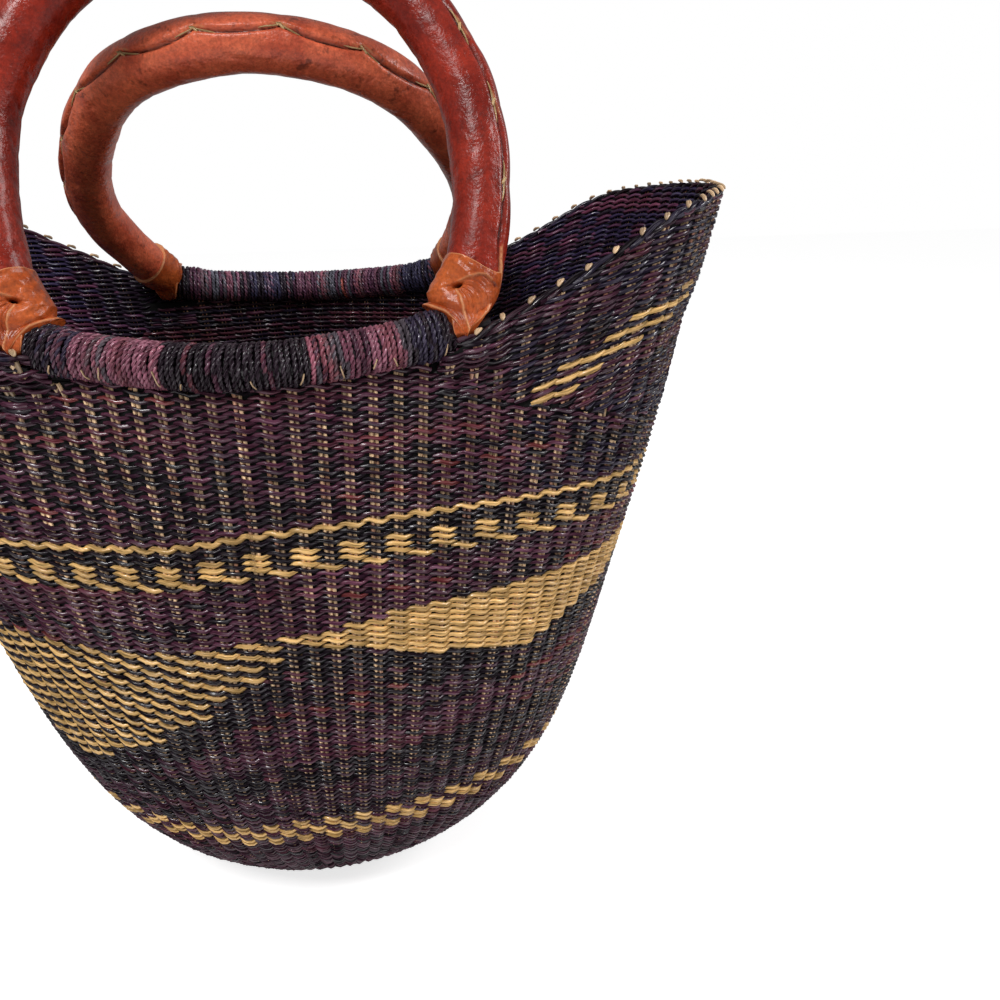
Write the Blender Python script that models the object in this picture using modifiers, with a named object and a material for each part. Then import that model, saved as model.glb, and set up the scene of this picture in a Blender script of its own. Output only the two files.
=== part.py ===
# Bolga basket: a woven grass basket with two upswept wings, a bound rim roll
# between the handle feet, and two leather covered handles that swing at their
# leather foot wraps.
# Frame: metres, +Z up, +X through the wing tips, -Y is the front. The origin
# is the middle of the flat rest under the base.

import math

import bmesh
import bpy
import numpy as np
from mathutils import Vector

# Driving sizes of the woven body
RIM_HEIGHT = 0.288            # centre of the rim roll above the floor, at mid front
WALL_HALF_LENGTH = 0.189      # outside of the wall at rim height, along X
WALL_HALF_DEPTH = 0.126       # widest outside of the wall, along Y
REST_RADIUS = 0.036           # flat rest under the base
WALL_THICKNESS = 0.005        # stakes with two twined strands over them
WING_HALF_SPAN = 0.210        # wing edge at the tips, along X
WING_RISE = 0.0558            # wing edge at the tips above the rim roll
SEAM_DROP = 0.0095            # seam where the wings' short rows start, below rim height

# Heights above the floor as shares of RIM_HEIGHT, with the outer half length
# and half depth there as shares of WALL_HALF_LENGTH and WALL_HALF_DEPTH
WALL_PROFILE_SHARES = (
    (0.012, 0.300, 0.432),
    (0.050, 0.423, 0.590),
    (0.120, 0.575, 0.745),
    (0.250, 0.703, 0.885),
    (0.450, 0.808, 0.975),
    (0.700, 0.904, 1.000),
    (1.000, 1.000, 0.950),
)

# Rim line seen from above: X as a share of WING_HALF_SPAN, then the half
# depth as a share of the rim's half depth at mid front
RIM_INSET = 0.0027              # rim line inside the wall's outer face, at mid front
RIM_HALF_DEPTH = WALL_HALF_DEPTH * WALL_PROFILE_SHARES[-1][2] - RIM_INSET
RIM_PLAN_SHARES = ((0.0, 1.0), (0.393, 0.842), (0.62, 0.803), (0.85, 0.689), (0.96, 0.425), (1.0, 0.0))
# Rim line seen from the front: the same X shares, then the rise as a share of WING_RISE
RIM_RISE_SHARES = ((0.0, 0.0), (0.393, 0.129), (0.62, 0.498), (0.85, 0.902), (1.0, 1.0))

# Rim roll: a straw core with a cord wound round it between the feet
ROLL_RADIUS = 0.009
CORD_RADIUS = 0.0011
CORD_TURNS = 10
CORD_POINTS_PER_TURN = 24
FIT_GAP = 0.0003              # clearance between pieces that touch
CORD_LEAST_GAP = 0.0004       # least gap allowed between turns of the cord

# Wing edge: the folded over stakes bound as a border
EDGE_RADIUS = 0.0028
EDGE_SEAT = 0.0006            # under the border, which bridges the wing's facets

# Handles, with the arch drawn in its own plane: half width and height as
# shares of the handle's half width and height, from the widest place to the top
FOOT_HALF_SPACING = 0.0825
HANDLE_RADIUS = 0.0110
COVER_THICKNESS = 0.0014
FLAP_RAISE = 0.0013           # folded seam flap standing out of the cover
FLAP_SPREAD = math.radians(34)
FRONT_HALF_WIDTH = 0.0905
FRONT_HEIGHT = 0.150
FRONT_ARCH_SHARES = ((1.0, 0.36), (0.93, 0.64), (0.60, 0.905), (0.0, 1.0))
FRONT_INWARD_LEAN = math.radians(19.5)
BACK_HALF_WIDTH = 0.0950
BACK_HEIGHT = 0.170
BACK_ARCH_SHARES = ((1.0, 0.38), (0.87, 0.66), (0.53, 0.91), (0.0, 1.0))
BACK_INWARD_LEAN = math.radians(51.5)
LACE_RADIUS = 0.0008
LACE_STITCHES = 14
LACE_SWAY = math.radians(26)
LACE_CLEARANCE = 0.0007       # the thong bridges the facets of the cover

# Foot wraps: leather wound round the rim core and up the handle's leg
WRAP_RADIUS = 0.0128
WRAP_HEIGHT = 0.034
SLEEVE_START = 0.0041         # the sleeve grows out of the ring from here
RING_RADIUS = 0.0126
RING_LENGTH = 0.018
RING_BORE_RADIUS = 0.0098
SOCKET_GAP = 0.0005           # round the handle core inside the wrap
CORE_START = 0.0132           # handle core starts this far above the hinge axis
KNOT_HEIGHT = 0.0165
KNOT_RADIUS = 0.0042
KNOT_CORD_RADIUS = 0.0021
SWING_CLEARANCE = 0.0005
CUT_OVERRUN = 0.004

# Counts of facets
WALL_COLUMNS = 64
WALL_ROWS = 11
WING_ROWS = 3
ARCH_POINTS = 28
LEG_POINTS = 5
TANGENT_REACH = 0.0005        # half step over which a line's direction is read
RIM_POINTS = 22
EDGE_POINTS = 30
COVER_SIDES = 14
CUTTER_SIDES = 20
ROD_SIDES = 10
CORD_SIDES = 6
KNOT_SEGMENTS = 12
FINE_STEPS = 200              # points on a line before it is evenly spaced
ARCH_STEPS = 24               # points on each span of a handle's arch
SOLVE_STEPS = 40              # rounds that settle a stake on the rim line
LACE_STEPS = 6                # points in one sway of the thong, out and back
ROW_CROWD_SHARE = 1.6         # facet rows crowd towards the base by this power
RIM_BLEND_SHARE = 0.5         # the wall starts to follow the rim's plan from here up

# Derived sizes
CORE_RADIUS = ROLL_RADIUS - 2 * CORD_RADIUS - FIT_GAP
HANDLE_CORE_RADIUS = HANDLE_RADIUS - COVER_THICKNESS - FIT_GAP
NOTCH_HALF_WIDTH = WRAP_RADIUS + SWING_CLEARANCE
NOTCH_DEPTH = WRAP_RADIUS + SWING_CLEARANCE
BINDING_END = FOOT_HALF_SPACING - NOTCH_HALF_WIDTH - SWING_CLEARANCE
CORE_END = FOOT_HALF_SPACING + RING_LENGTH / 2 + SWING_CLEARANCE
WING_START = FOOT_HALF_SPACING + NOTCH_HALF_WIDTH + CUT_OVERRUN / 2
SEAM_HEIGHT = RIM_HEIGHT - SEAM_DROP
WING_FLARE = (WING_HALF_SPAN - WALL_HALF_LENGTH) / WING_RISE


def clear_scene():
    for old in list(bpy.data.objects):
        bpy.data.objects.remove(old, do_unlink=True)


def new_collection(name):
    made = bpy.data.collections.new(name)
    bpy.context.scene.collection.children.link(made)
    return made


def material(name, colour, roughness, metallic=0.0):
    made = bpy.data.materials.new(name)
    made.use_nodes = True
    shader = made.node_tree.nodes["Principled BSDF"]
    shader.inputs["Base Color"].default_value = (*colour, 1.0)
    shader.inputs["Roughness"].default_value = roughness
    shader.inputs["Metallic"].default_value = metallic
    return made


def monotone(pairs, at):
    """Smooth curve through the pairs that never overshoots between them."""
    xs = np.array([p[0] for p in pairs], dtype=float)
    ys = np.array([p[1] for p in pairs], dtype=float)
    width = np.diff(xs)
    slope = np.diff(ys) / width
    tangent = np.zeros(len(xs))
    for i in range(1, len(xs) - 1):
        if slope[i - 1] * slope[i] > 0:
            heavy = 2 * width[i] + width[i - 1]
            light = width[i] + 2 * width[i - 1]
            tangent[i] = (heavy + light) / (heavy / slope[i - 1] + light / slope[i])
    tangent[-1] = slope[-1]
    i = int(np.clip(np.searchsorted(xs, at) - 1, 0, len(width) - 1))
    s = (min(max(at, xs[0]), xs[-1]) - xs[i]) / width[i]
    low = ys[i] * (1 + 2 * s) * (1 - s) ** 2 + tangent[i] * width[i] * s * (1 - s) ** 2
    high = ys[i + 1] * s * s * (3 - 2 * s) + tangent[i + 1] * width[i] * s * s * (s - 1)
    return low + high


def rim_depth(x):
    """Half depth of the rim line at X, from above."""
    share = min(abs(x) / WING_HALF_SPAN, 1.0)
    last, tip = RIM_PLAN_SHARES[-2], RIM_PLAN_SHARES[-1]
    if share > last[0]:
        round_end = math.sqrt(max(0.0, (tip[0] - share) / (tip[0] - last[0])))
        return RIM_HALF_DEPTH * last[1] * round_end
    return RIM_HALF_DEPTH * monotone(RIM_PLAN_SHARES[:-1], share)


def rim_rise(x):
    share = min(abs(x) / WING_HALF_SPAN, 1.0)
    return WING_RISE * monotone(RIM_RISE_SHARES, share)


def rim_point(x, side):
    return Vector((x, side * rim_depth(x), RIM_HEIGHT + rim_rise(x)))


def wall_half_length(z):
    share = z / RIM_HEIGHT
    if share > 1.0:
        return WALL_HALF_LENGTH + (WING_HALF_SPAN - WALL_HALF_LENGTH) * (z - RIM_HEIGHT) / WING_RISE
    pairs = [(0.0, REST_RADIUS / WALL_HALF_LENGTH)] + [(row[0], row[1]) for row in WALL_PROFILE_SHARES]
    return WALL_HALF_LENGTH * monotone(pairs, share)


def wall_half_depth(z):
    share = min(z / RIM_HEIGHT, 1.0)
    pairs = [(0.0, REST_RADIUS / WALL_HALF_DEPTH)] + [(row[0], row[2]) for row in WALL_PROFILE_SHARES]
    return WALL_HALF_DEPTH * monotone(pairs, share)


def rim_x_at(angle):
    """X of the rim line on the stake that stands at this angle."""
    x = WALL_HALF_LENGTH * math.cos(angle)
    for _ in range(SOLVE_STEPS):
        x = (x + wall_half_length(RIM_HEIGHT + rim_rise(x)) * math.cos(angle)) / 2
    return x


def wall_point(angle, z):
    """Outside of the wall on the stake at this angle, at height z."""
    x = wall_half_length(z) * math.cos(angle)
    rim_share = rim_depth(rim_x_at(angle)) / RIM_HALF_DEPTH
    if math.sin(angle) < 0:
        rim_share = -rim_share
    near_rim = min(max((z / RIM_HEIGHT - RIM_BLEND_SHARE) / (1 - RIM_BLEND_SHARE), 0.0), 1.0)
    blend = near_rim * near_rim * (3 - 2 * near_rim)
    share = math.sin(angle) * (1 - blend) + rim_share * blend
    return Vector((x, wall_half_depth(z) * share, z))


def stake_angles():
    """Stake angles, with extra columns at the feet and where the wings start."""
    marks = []
    notch_start = FOOT_HALF_SPACING - NOTCH_HALF_WIDTH
    notch_end = FOOT_HALF_SPACING + NOTCH_HALF_WIDTH
    for x in (BINDING_END, notch_start, notch_end, WING_START):
        z = RIM_HEIGHT + rim_rise(x)
        marks.append(math.acos(x / wall_half_length(z)))
    step = 2 * math.pi / WALL_COLUMNS
    angles = [i * step for i in range(WALL_COLUMNS)]
    for mark in marks:
        for placed in (mark, math.pi - mark, math.pi + mark, 2 * math.pi - mark):
            nearest = min(range(len(angles)), key=lambda i: abs(angles[i] - placed))
            if abs(angles[nearest] - placed) < step / 2 and angles[nearest] not in marks:
                angles[nearest] = placed
            else:
                angles.append(placed)
    return sorted(set(angles))


def body_top(angle):
    """Top of the wall: under the roll, notched at the feet, level under the wings."""
    x = abs(rim_x_at(angle))
    tiny = FIT_GAP / 10
    if x < FOOT_HALF_SPACING - NOTCH_HALF_WIDTH - tiny:
        return RIM_HEIGHT + rim_rise(x) - ROLL_RADIUS - FIT_GAP
    if x < FOOT_HALF_SPACING + NOTCH_HALF_WIDTH + tiny:
        return RIM_HEIGHT + rim_rise(FOOT_HALF_SPACING) - NOTCH_DEPTH
    return SEAM_HEIGHT


def sheet_object(name, rows, closed, collection, finish, thickness):
    """Thick sheet through rows of points, first row at the bottom, faces outward."""
    mesh = bmesh.new()
    grid = [[mesh.verts.new(p) for p in row] for row in rows]
    count = len(rows[0])
    last = count if closed else count - 1
    for low, high in zip(grid[:-1], grid[1:]):
        for j in range(last):
            k = (j + 1) % count
            mesh.faces.new((low[j], low[k], high[k], high[j]))
    if closed:
        mesh.faces.new(list(reversed(grid[0])))
    data = bpy.data.meshes.new(name)
    mesh.to_mesh(data)
    mesh.free()
    data.shade_smooth()
    made = bpy.data.objects.new(name, data)
    collection.objects.link(made)
    data.materials.append(finish)
    skin = made.modifiers.new("thickness", "SOLIDIFY")
    skin.thickness = thickness
    skin.offset = -1
    skin.use_even_offset = True
    return made


def build_body(collection, finish):
    angles = stake_angles()
    rows = []
    for i in range(WALL_ROWS + 1):
        share = (i / WALL_ROWS) ** ROW_CROWD_SHARE
        row = []
        for angle in angles:
            row.append(wall_point(angle, share * body_top(angle)))
        rows.append(row)
    return sheet_object("woven_body", rows, True, collection, finish, WALL_THICKNESS)


def build_wing(side, name, collection, finish):
    angles = []
    for angle in stake_angles():
        turned = angle - 2 * math.pi if angle > math.pi else angle
        if rim_x_at(turned) > WING_START - FIT_GAP / 10:
            angles.append(turned)
    angles.sort()
    rows = []
    for i in range(WING_ROWS + 1):
        row = []
        for angle in angles:
            edge = RIM_HEIGHT + rim_rise(rim_x_at(angle)) - EDGE_RADIUS - EDGE_SEAT
            edge -= WALL_THICKNESS * WING_FLARE * abs(math.cos(angle))
            low = SEAM_HEIGHT + FIT_GAP
            place = wall_point(angle, low + (edge - low) * i / WING_ROWS)
            row.append(Vector((side * place.x, side * place.y, place.z)))
        rows.append(row)
    return sheet_object(name, rows, False, collection, finish, WALL_THICKNESS)


def tube_curve(name, points, radius, sides, collection, finish=None, capped=True):
    """Poly curve with a round bevel; sides is 6, 8, 10 or 12."""
    data = bpy.data.curves.new(name, "CURVE")
    data.dimensions = "3D"
    data.bevel_depth = radius
    data.bevel_resolution = sides // 2 - 2
    data.use_fill_caps = capped
    line = data.splines.new("POLY")
    line.points.add(len(points) - 1)
    for slot, place in zip(line.points, points):
        slot.co = (*place, 1.0)
    line.use_smooth = True
    made = bpy.data.objects.new(name, data)
    collection.objects.link(made)
    if finish:
        data.materials.append(finish)
    return made


def as_mesh(source, name, collection, finish):
    """Mesh copy of a curve object with its caps welded; the curve is removed."""
    bpy.context.view_layer.update()
    graph = bpy.context.evaluated_depsgraph_get()
    data = bpy.data.meshes.new_from_object(source.evaluated_get(graph))
    shape = bmesh.new()
    shape.from_mesh(data)
    bmesh.ops.remove_doubles(shape, verts=shape.verts, dist=FIT_GAP / 30)
    bmesh.ops.recalc_face_normals(shape, faces=shape.faces)
    shape.to_mesh(data)
    shape.free()
    matrix = source.matrix_world.copy()
    parent = source.parent
    bpy.data.objects.remove(source, do_unlink=True)
    made = bpy.data.objects.new(name, data)
    collection.objects.link(made)
    if parent is not None:
        made.parent = parent
    made.matrix_world = matrix
    data.materials.clear()
    if finish:
        data.materials.append(finish)
    return made


def even_steps(points, count):
    """The same line with its points evenly spaced."""
    line = np.array([tuple(p) for p in points])
    length = np.concatenate([[0.0], np.cumsum(np.linalg.norm(np.diff(line, axis=0), axis=1))])
    wanted = np.linspace(0.0, length[-1], count)
    return [Vector([float(np.interp(w, length, line[:, k])) for k in range(3)]) for w in wanted]


def rim_line(reach, side, count):
    """Rim centre line from -reach to reach in X, with count points."""
    fine = [rim_point(-reach + 2 * reach * i / FINE_STEPS, side) for i in range(FINE_STEPS + 1)]
    return even_steps(fine, count)


def build_rim_core(side, name, collection, finish):
    points = rim_line(CORE_END, side, RIM_POINTS)
    return tube_curve(name, points, CORE_RADIUS, ROD_SIDES, collection, finish)


def build_rim_binding(side, name, collection, finish):
    """Cord wound round the core in one unbroken run, with straight ends."""
    line = rim_line(BINDING_END - CORD_RADIUS - SWING_CLEARANCE, side, CORD_TURNS * CORD_POINTS_PER_TURN + 1)
    wind = CORE_RADIUS + FIT_GAP + CORD_RADIUS
    points = []
    for i, centre in enumerate(line):
        ahead = (line[min(i + 1, len(line) - 1)] - line[max(i - 1, 0)]).normalized()
        out = Vector((0, side, 0))
        out = (out - ahead * out.dot(ahead)).normalized()
        up = ahead.cross(out)
        turn = 2 * math.pi * i / CORD_POINTS_PER_TURN
        points.append(centre + wind * (math.cos(turn) * out + math.sin(turn) * up))
    points = straight_ends(points, 2 * CORD_RADIUS)
    gap = least_gap(points, CORD_RADIUS, CORD_POINTS_PER_TURN // 2)
    print(name, "least gap between turns in mm:", round(1000 * gap, 2), "allowed", 1000 * CORD_LEAST_GAP)
    return tube_curve(name, points, CORD_RADIUS, CORD_SIDES, collection, finish)


def straight_ends(points, reach):
    """The line with one straight step of this length added at both ends."""
    first = points[0] + (points[0] - points[1]).normalized() * reach
    final = points[-1] + (points[-1] - points[-2]).normalized() * reach
    return [first] + points + [final]


def least_gap(points, radius, skip):
    """Least clear distance between parts of a tube more than skip points apart."""
    line = np.array([tuple(p) for p in points])
    least = math.inf
    for i in range(len(line) - skip):
        apart = np.linalg.norm(line[i + skip:] - line[i], axis=1).min()
        least = min(least, apart - 2 * radius)
    return least


def build_wing_edge(side, name, collection, finish):
    """Border tube along the top of one wing, from front to back."""
    fine = []
    start = WING_START + EDGE_RADIUS / 2
    for i in range(FINE_STEPS + 1):
        swing = math.pi * (i / FINE_STEPS - 1 / 2)
        x = start + (WING_HALF_SPAN - start) * math.cos(swing)
        place = rim_point(x, 1 if swing > 0 else -1)
        inset = WALL_THICKNESS / 2
        fine.append(Vector((side * (place.x - inset * math.cos(swing)), side * place.y, place.z)))
    return tube_curve(name, even_steps(fine, EDGE_POINTS), EDGE_RADIUS, CORD_SIDES, collection, finish)


def arch_line(half_width, height, shares):
    """Fine points of one handle's centre line in its own plane, foot to foot."""
    knots = [Vector((FOOT_HALF_SPACING, 0, 0))]
    knots += [Vector((half_width * across, 0, height * up)) for across, up in shares]
    mirrored = [Vector((-p.x, 0, p.z)) for p in reversed(knots[:-1])]
    knots = knots + mirrored
    before = Vector((knots[0].x, 0, -knots[1].z))
    after = Vector((knots[-1].x, 0, -knots[1].z))
    around = [before] + knots + [after]
    fine = []
    for i in range(1, len(around) - 2):
        fine += rounded_step(around[i - 1], around[i], around[i + 1], around[i + 2], ARCH_STEPS)
    fine.append(knots[-1].copy())
    return fine


def rounded_step(before, start, end, after, count):
    """Centripetal spline points from start up to, not including, end."""
    t0 = 0.0
    t1 = t0 + math.sqrt((start - before).length)
    t2 = t1 + math.sqrt((end - start).length)
    t3 = t2 + math.sqrt((after - end).length)
    made = []
    for i in range(count):
        t = t1 + (t2 - t1) * i / count
        a1 = before * ((t1 - t) / (t1 - t0)) + start * ((t - t0) / (t1 - t0))
        a2 = start * ((t2 - t) / (t2 - t1)) + end * ((t - t1) / (t2 - t1))
        a3 = end * ((t3 - t) / (t3 - t2)) + after * ((t - t2) / (t3 - t2))
        b1 = a1 * ((t2 - t) / (t2 - t0)) + a2 * ((t - t0) / (t2 - t0))
        b2 = a2 * ((t3 - t) / (t3 - t1)) + a3 * ((t - t1) / (t3 - t1))
        made.append(b1 * ((t2 - t) / (t2 - t1)) + b2 * ((t - t1) / (t2 - t1)))
    return made


def cut_line(points, start, end):
    """The part of a line between two distances from its first point."""
    line = np.array([tuple(p) for p in points])
    length = np.concatenate([[0.0], np.cumsum(np.linalg.norm(np.diff(line, axis=0), axis=1))])
    total = length[-1]
    if end <= 0:
        end = total + end
    inside = [float(w) for w in length if start < w < end]
    wanted = [start] + inside + [end]
    return [Vector([float(np.interp(w, length, line[:, k])) for k in range(3)]) for w in wanted]


def point_at(points, distance):
    """Place on a line this far from its first point."""
    left = distance
    for a, b in zip(points[:-1], points[1:]):
        step = (b - a).length
        if left <= step:
            return a + (b - a) * (left / step)
        left -= step
    return points[-1].copy()


def stations(line, start, count):
    """Evenly spaced (place, way on, way out of the arch) between start and its mirror."""
    length = sum((b - a).length for a, b in zip(line[:-1], line[1:]))
    made = []
    for i in range(count):
        distance = start + (length - 2 * start) * i / (count - 1)
        place = point_at(line, distance)
        ahead = point_at(line, distance + TANGENT_REACH) - point_at(line, distance - TANGENT_REACH)
        ahead.normalize()
        out = ahead.cross(Vector((0, 1, 0)))
        made.append((place, ahead, out))
    return made


def cover_stations(line):
    """Rings of the cover, from one foot wrap to the other."""
    return stations(line, WRAP_HEIGHT + FIT_GAP, ARCH_POINTS)


def build_handle_core(line, name, parent, collection, finish):
    """Straw bundle on the cover's own stations, reaching down into both foot wraps."""
    leg = even_steps(cut_line(line, CORE_START, WRAP_HEIGHT), LEG_POINTS)
    other_leg = [Vector((-p.x, p.y, p.z)) for p in reversed(leg)]
    middle = [place for place, ahead, out in cover_stations(line)]
    inner = leg[:-1] + middle + other_leg[1:]
    made = tube_curve(name, inner, HANDLE_CORE_RADIUS, ROD_SIDES, collection, finish)
    made.parent = parent
    return made


def cover_radius(turn):
    """Outside of the leather cover round its section; the flap stands at turn 0."""
    away = abs((turn + math.pi) % (2 * math.pi) - math.pi) / FLAP_SPREAD
    lift = (1 + math.cos(math.pi * min(away, 1.0))) / 2
    return HANDLE_RADIUS + FLAP_RAISE * lift


def build_cover(line, name, parent, collection, finish):
    """Leather tube round the core, lofted so that its seam flap faces out of the arch."""
    rings = []
    for place, ahead, out in cover_stations(line):
        across = ahead.cross(out)
        ring = []
        for j in range(COVER_SIDES):
            turn = 2 * math.pi * j / COVER_SIDES
            ring.append(place + cover_radius(turn) * (math.cos(turn) * out + math.sin(turn) * across))
        rings.append(ring)
    shape = bmesh.new()
    grid = [[shape.verts.new(p) for p in ring] for ring in rings]
    for low, high in zip(grid[:-1], grid[1:]):
        for j in range(COVER_SIDES):
            k = (j + 1) % COVER_SIDES
            shape.faces.new((low[j], low[k], high[k], high[j]))
    bmesh.ops.recalc_face_normals(shape, faces=shape.faces)
    data = bpy.data.meshes.new(name)
    shape.to_mesh(data)
    shape.free()
    data.shade_smooth()
    made = bpy.data.objects.new(name, data)
    collection.objects.link(made)
    data.materials.append(finish)
    made.parent = parent
    skin = made.modifiers.new("thickness", "SOLIDIFY")
    skin.thickness = COVER_THICKNESS
    skin.offset = -1
    skin.use_even_offset = True
    return made


def build_lacing(line, name, parent, collection, finish):
    """Thong that zigzags over the seam flap from one foot wrap to the other."""
    start = WRAP_HEIGHT + FIT_GAP + 2 * LACE_RADIUS
    clear = LACE_RADIUS + LACE_CLEARANCE
    points = []
    for i, (place, ahead, out) in enumerate(stations(line, start, LACE_STEPS // 2 * LACE_STITCHES + 1)):
        across = ahead.cross(out)
        phase = (i % LACE_STEPS) / LACE_STEPS
        sway = LACE_SWAY * (4 * abs(phase - 1 / 2) - 1)
        radius = cover_radius(sway) + clear
        points.append(place + radius * (math.cos(sway) * out + math.sin(sway) * across))
    made = tube_curve(name, points, LACE_RADIUS, CORD_SIDES, collection, finish)
    made.parent = parent
    return made


def add_primitive(kind, parent, location, rotation, collection, **sizes):
    """Cylinder, torus or sphere primitive placed in its parent's frame."""
    makers = {
        "cylinder": bpy.ops.mesh.primitive_cylinder_add,
        "torus": bpy.ops.mesh.primitive_torus_add,
        "sphere": bpy.ops.mesh.primitive_uv_sphere_add,
    }
    makers[kind](**sizes)
    made = bpy.context.object
    for holder in list(made.users_collection):
        holder.objects.unlink(made)
    collection.objects.link(made)
    made.parent = parent
    made.location = location
    made.rotation_euler = rotation
    return made


def combine(target, other, how):
    step = target.modifiers.new(other.name, "BOOLEAN")
    step.operation = how
    step.object = other
    step.solver = "EXACT"
    other.hide_render = True
    other.display_type = "WIRE"


def build_foot_wrap(line, side, outer, name, parent, parts, cutters, finish):
    """Leather wrap of one foot: ring round the rim core, sleeve up the leg and a knot."""
    leg = line if side > 0 else list(reversed(line))
    sleeve_line = even_steps(cut_line(leg, SLEEVE_START, WRAP_HEIGHT - TANGENT_REACH), LEG_POINTS)
    sleeve_line.append(point_at(leg, WRAP_HEIGHT))
    sleeve = tube_curve(name, sleeve_line, WRAP_RADIUS, 12, parts)
    sleeve.parent = parent
    wrap = as_mesh(sleeve, name, parts, finish)
    foot = Vector((side * FOOT_HALF_SPACING, 0, 0))
    along = (0, math.pi / 2, 0)
    ring = add_primitive("cylinder", parent, foot, along, cutters,
                         vertices=CUTTER_SIDES, radius=RING_RADIUS, depth=RING_LENGTH)
    ring.name = name + "_ring"
    combine(wrap, ring, "UNION")
    knot_at = point_at(leg, KNOT_HEIGHT)
    knot_at = knot_at + Vector((0, outer * (WRAP_RADIUS - KNOT_CORD_RADIUS / 4), 0))
    knot = add_primitive("torus", parent, knot_at, (math.pi / 2, 0, 0), cutters,
                         major_radius=KNOT_RADIUS, minor_radius=KNOT_CORD_RADIUS,
                         major_segments=KNOT_SEGMENTS, minor_segments=CORD_SIDES)
    knot.name = name + "_knot"
    combine(wrap, knot, "UNION")
    reach = cut_line(leg, CORE_START - FIT_GAP, WRAP_HEIGHT + CUT_OVERRUN)
    socket_line = even_steps(reach, LEG_POINTS + 1)
    socket = tube_curve(name + "_core_bore", socket_line, HANDLE_CORE_RADIUS + SOCKET_GAP, ROD_SIDES, cutters)
    socket.parent = parent
    socket = as_mesh(socket, name + "_core_bore", cutters, None)
    combine(wrap, socket, "DIFFERENCE")
    bore = add_primitive("cylinder", parent, foot, along, cutters,
                         vertices=CUTTER_SIDES, radius=RING_BORE_RADIUS,
                         depth=2 * WRAP_RADIUS + CUT_OVERRUN)
    bore.name = name + "_rim_bore"
    combine(wrap, bore, "DIFFERENCE")
    return wrap


def build_handle(word, side, half_width, height, shares, lean, parts, cutters, finishes):
    """One handle on an empty that stands on its hinge axis."""
    hinge = bpy.data.objects.new(word + "_handle_hinge", None)
    parts.objects.link(hinge)
    axis = rim_point(FOOT_HALF_SPACING, side)
    hinge.location = (0, axis.y, axis.z)
    hinge.rotation_euler = (side * lean, 0, 0)
    bpy.context.view_layer.update()
    line = arch_line(half_width, height, shares)
    build_handle_core(line, word + "_handle_core", hinge, parts, finishes["straw"])
    build_cover(line, word + "_handle_cover", hinge, parts, finishes[word + "_leather"])
    build_lacing(line, word + "_handle_lacing", hinge, parts, finishes["thong"])
    for foot, sign in (("right", 1), ("left", -1)):
        name = word + "_" + foot + "_foot_wrap"
        build_foot_wrap(line, sign, side, name, hinge, parts, cutters, finishes["tan"])
    return hinge


def main():
    clear_scene()
    parts = new_collection("bolga_basket")
    cutters = new_collection("cutters")
    finishes = {
        "weave": material("dyed_grass", (0.020, 0.010, 0.016), 0.55),
        "edge": material("edge_grass", (0.030, 0.016, 0.022), 0.6),
        "straw": material("natural_straw", (0.60, 0.40, 0.17), 0.6),
        "cord": material("dyed_cord", (0.055, 0.026, 0.036), 0.5),
        "front_leather": material("front_leather", (0.26, 0.045, 0.020), 0.35),
        "back_leather": material("back_leather", (0.38, 0.085, 0.030), 0.4),
        "tan": material("tan_leather", (0.52, 0.17, 0.05), 0.45),
        "thong": material("pale_thong", (0.50, 0.30, 0.12), 0.6),
    }
    build_body(parts, finishes["weave"])
    build_wing(1, "right_wing", parts, finishes["weave"])
    build_wing(-1, "left_wing", parts, finishes["weave"])
    build_wing_edge(1, "right_wing_edge", parts, finishes["edge"])
    build_wing_edge(-1, "left_wing_edge", parts, finishes["edge"])
    for word, side in (("front", -1), ("back", 1)):
        build_rim_core(side, word + "_rim_core", parts, finishes["straw"])
        build_rim_binding(side, word + "_rim_binding", parts, finishes["cord"])
    build_handle("front", -1, FRONT_HALF_WIDTH, FRONT_HEIGHT, FRONT_ARCH_SHARES,
                 FRONT_INWARD_LEAN, parts, cutters, finishes)
    build_handle("back", 1, BACK_HALF_WIDTH, BACK_HEIGHT, BACK_ARCH_SHARES,
                 BACK_INWARD_LEAN, parts, cutters, finishes)
    bpy.context.view_layer.update()


main()
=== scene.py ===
import math

import bmesh
import bpy
import numpy as np
from mathutils import Matrix, Vector


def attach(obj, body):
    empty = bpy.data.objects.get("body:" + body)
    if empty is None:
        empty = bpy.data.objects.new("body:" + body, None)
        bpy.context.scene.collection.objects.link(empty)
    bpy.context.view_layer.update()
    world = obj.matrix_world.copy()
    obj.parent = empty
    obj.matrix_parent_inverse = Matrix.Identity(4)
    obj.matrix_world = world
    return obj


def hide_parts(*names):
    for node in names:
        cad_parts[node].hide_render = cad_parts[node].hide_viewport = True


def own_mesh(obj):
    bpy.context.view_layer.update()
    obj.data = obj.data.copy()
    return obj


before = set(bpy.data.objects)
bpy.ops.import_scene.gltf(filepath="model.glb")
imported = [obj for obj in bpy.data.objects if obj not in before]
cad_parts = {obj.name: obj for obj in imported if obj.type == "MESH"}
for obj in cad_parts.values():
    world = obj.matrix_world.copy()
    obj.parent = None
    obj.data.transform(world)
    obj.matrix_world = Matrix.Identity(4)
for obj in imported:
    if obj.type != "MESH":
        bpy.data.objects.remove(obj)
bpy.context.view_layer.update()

scene = bpy.context.scene
white = (1, 1, 1, 1)


def placed(name, data):
    made = bpy.data.objects.new(name, data)
    scene.collection.objects.link(made)
    return made


def liveSocket(sockets, key):
    # a socket by its number, or the one in use of those with this name
    return sockets[key] if isinstance(key, int) else next(s for s in sockets if s.name == key and s.enabled)


def feed(tree, node, inputs):
    # each input is linked from a socket or given a value
    for key, value in inputs.items():
        if isinstance(value, bpy.types.NodeSocket):
            tree.links.new(value, liveSocket(node.inputs, key))
        else:
            liveSocket(node.inputs, key).default_value = value


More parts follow.
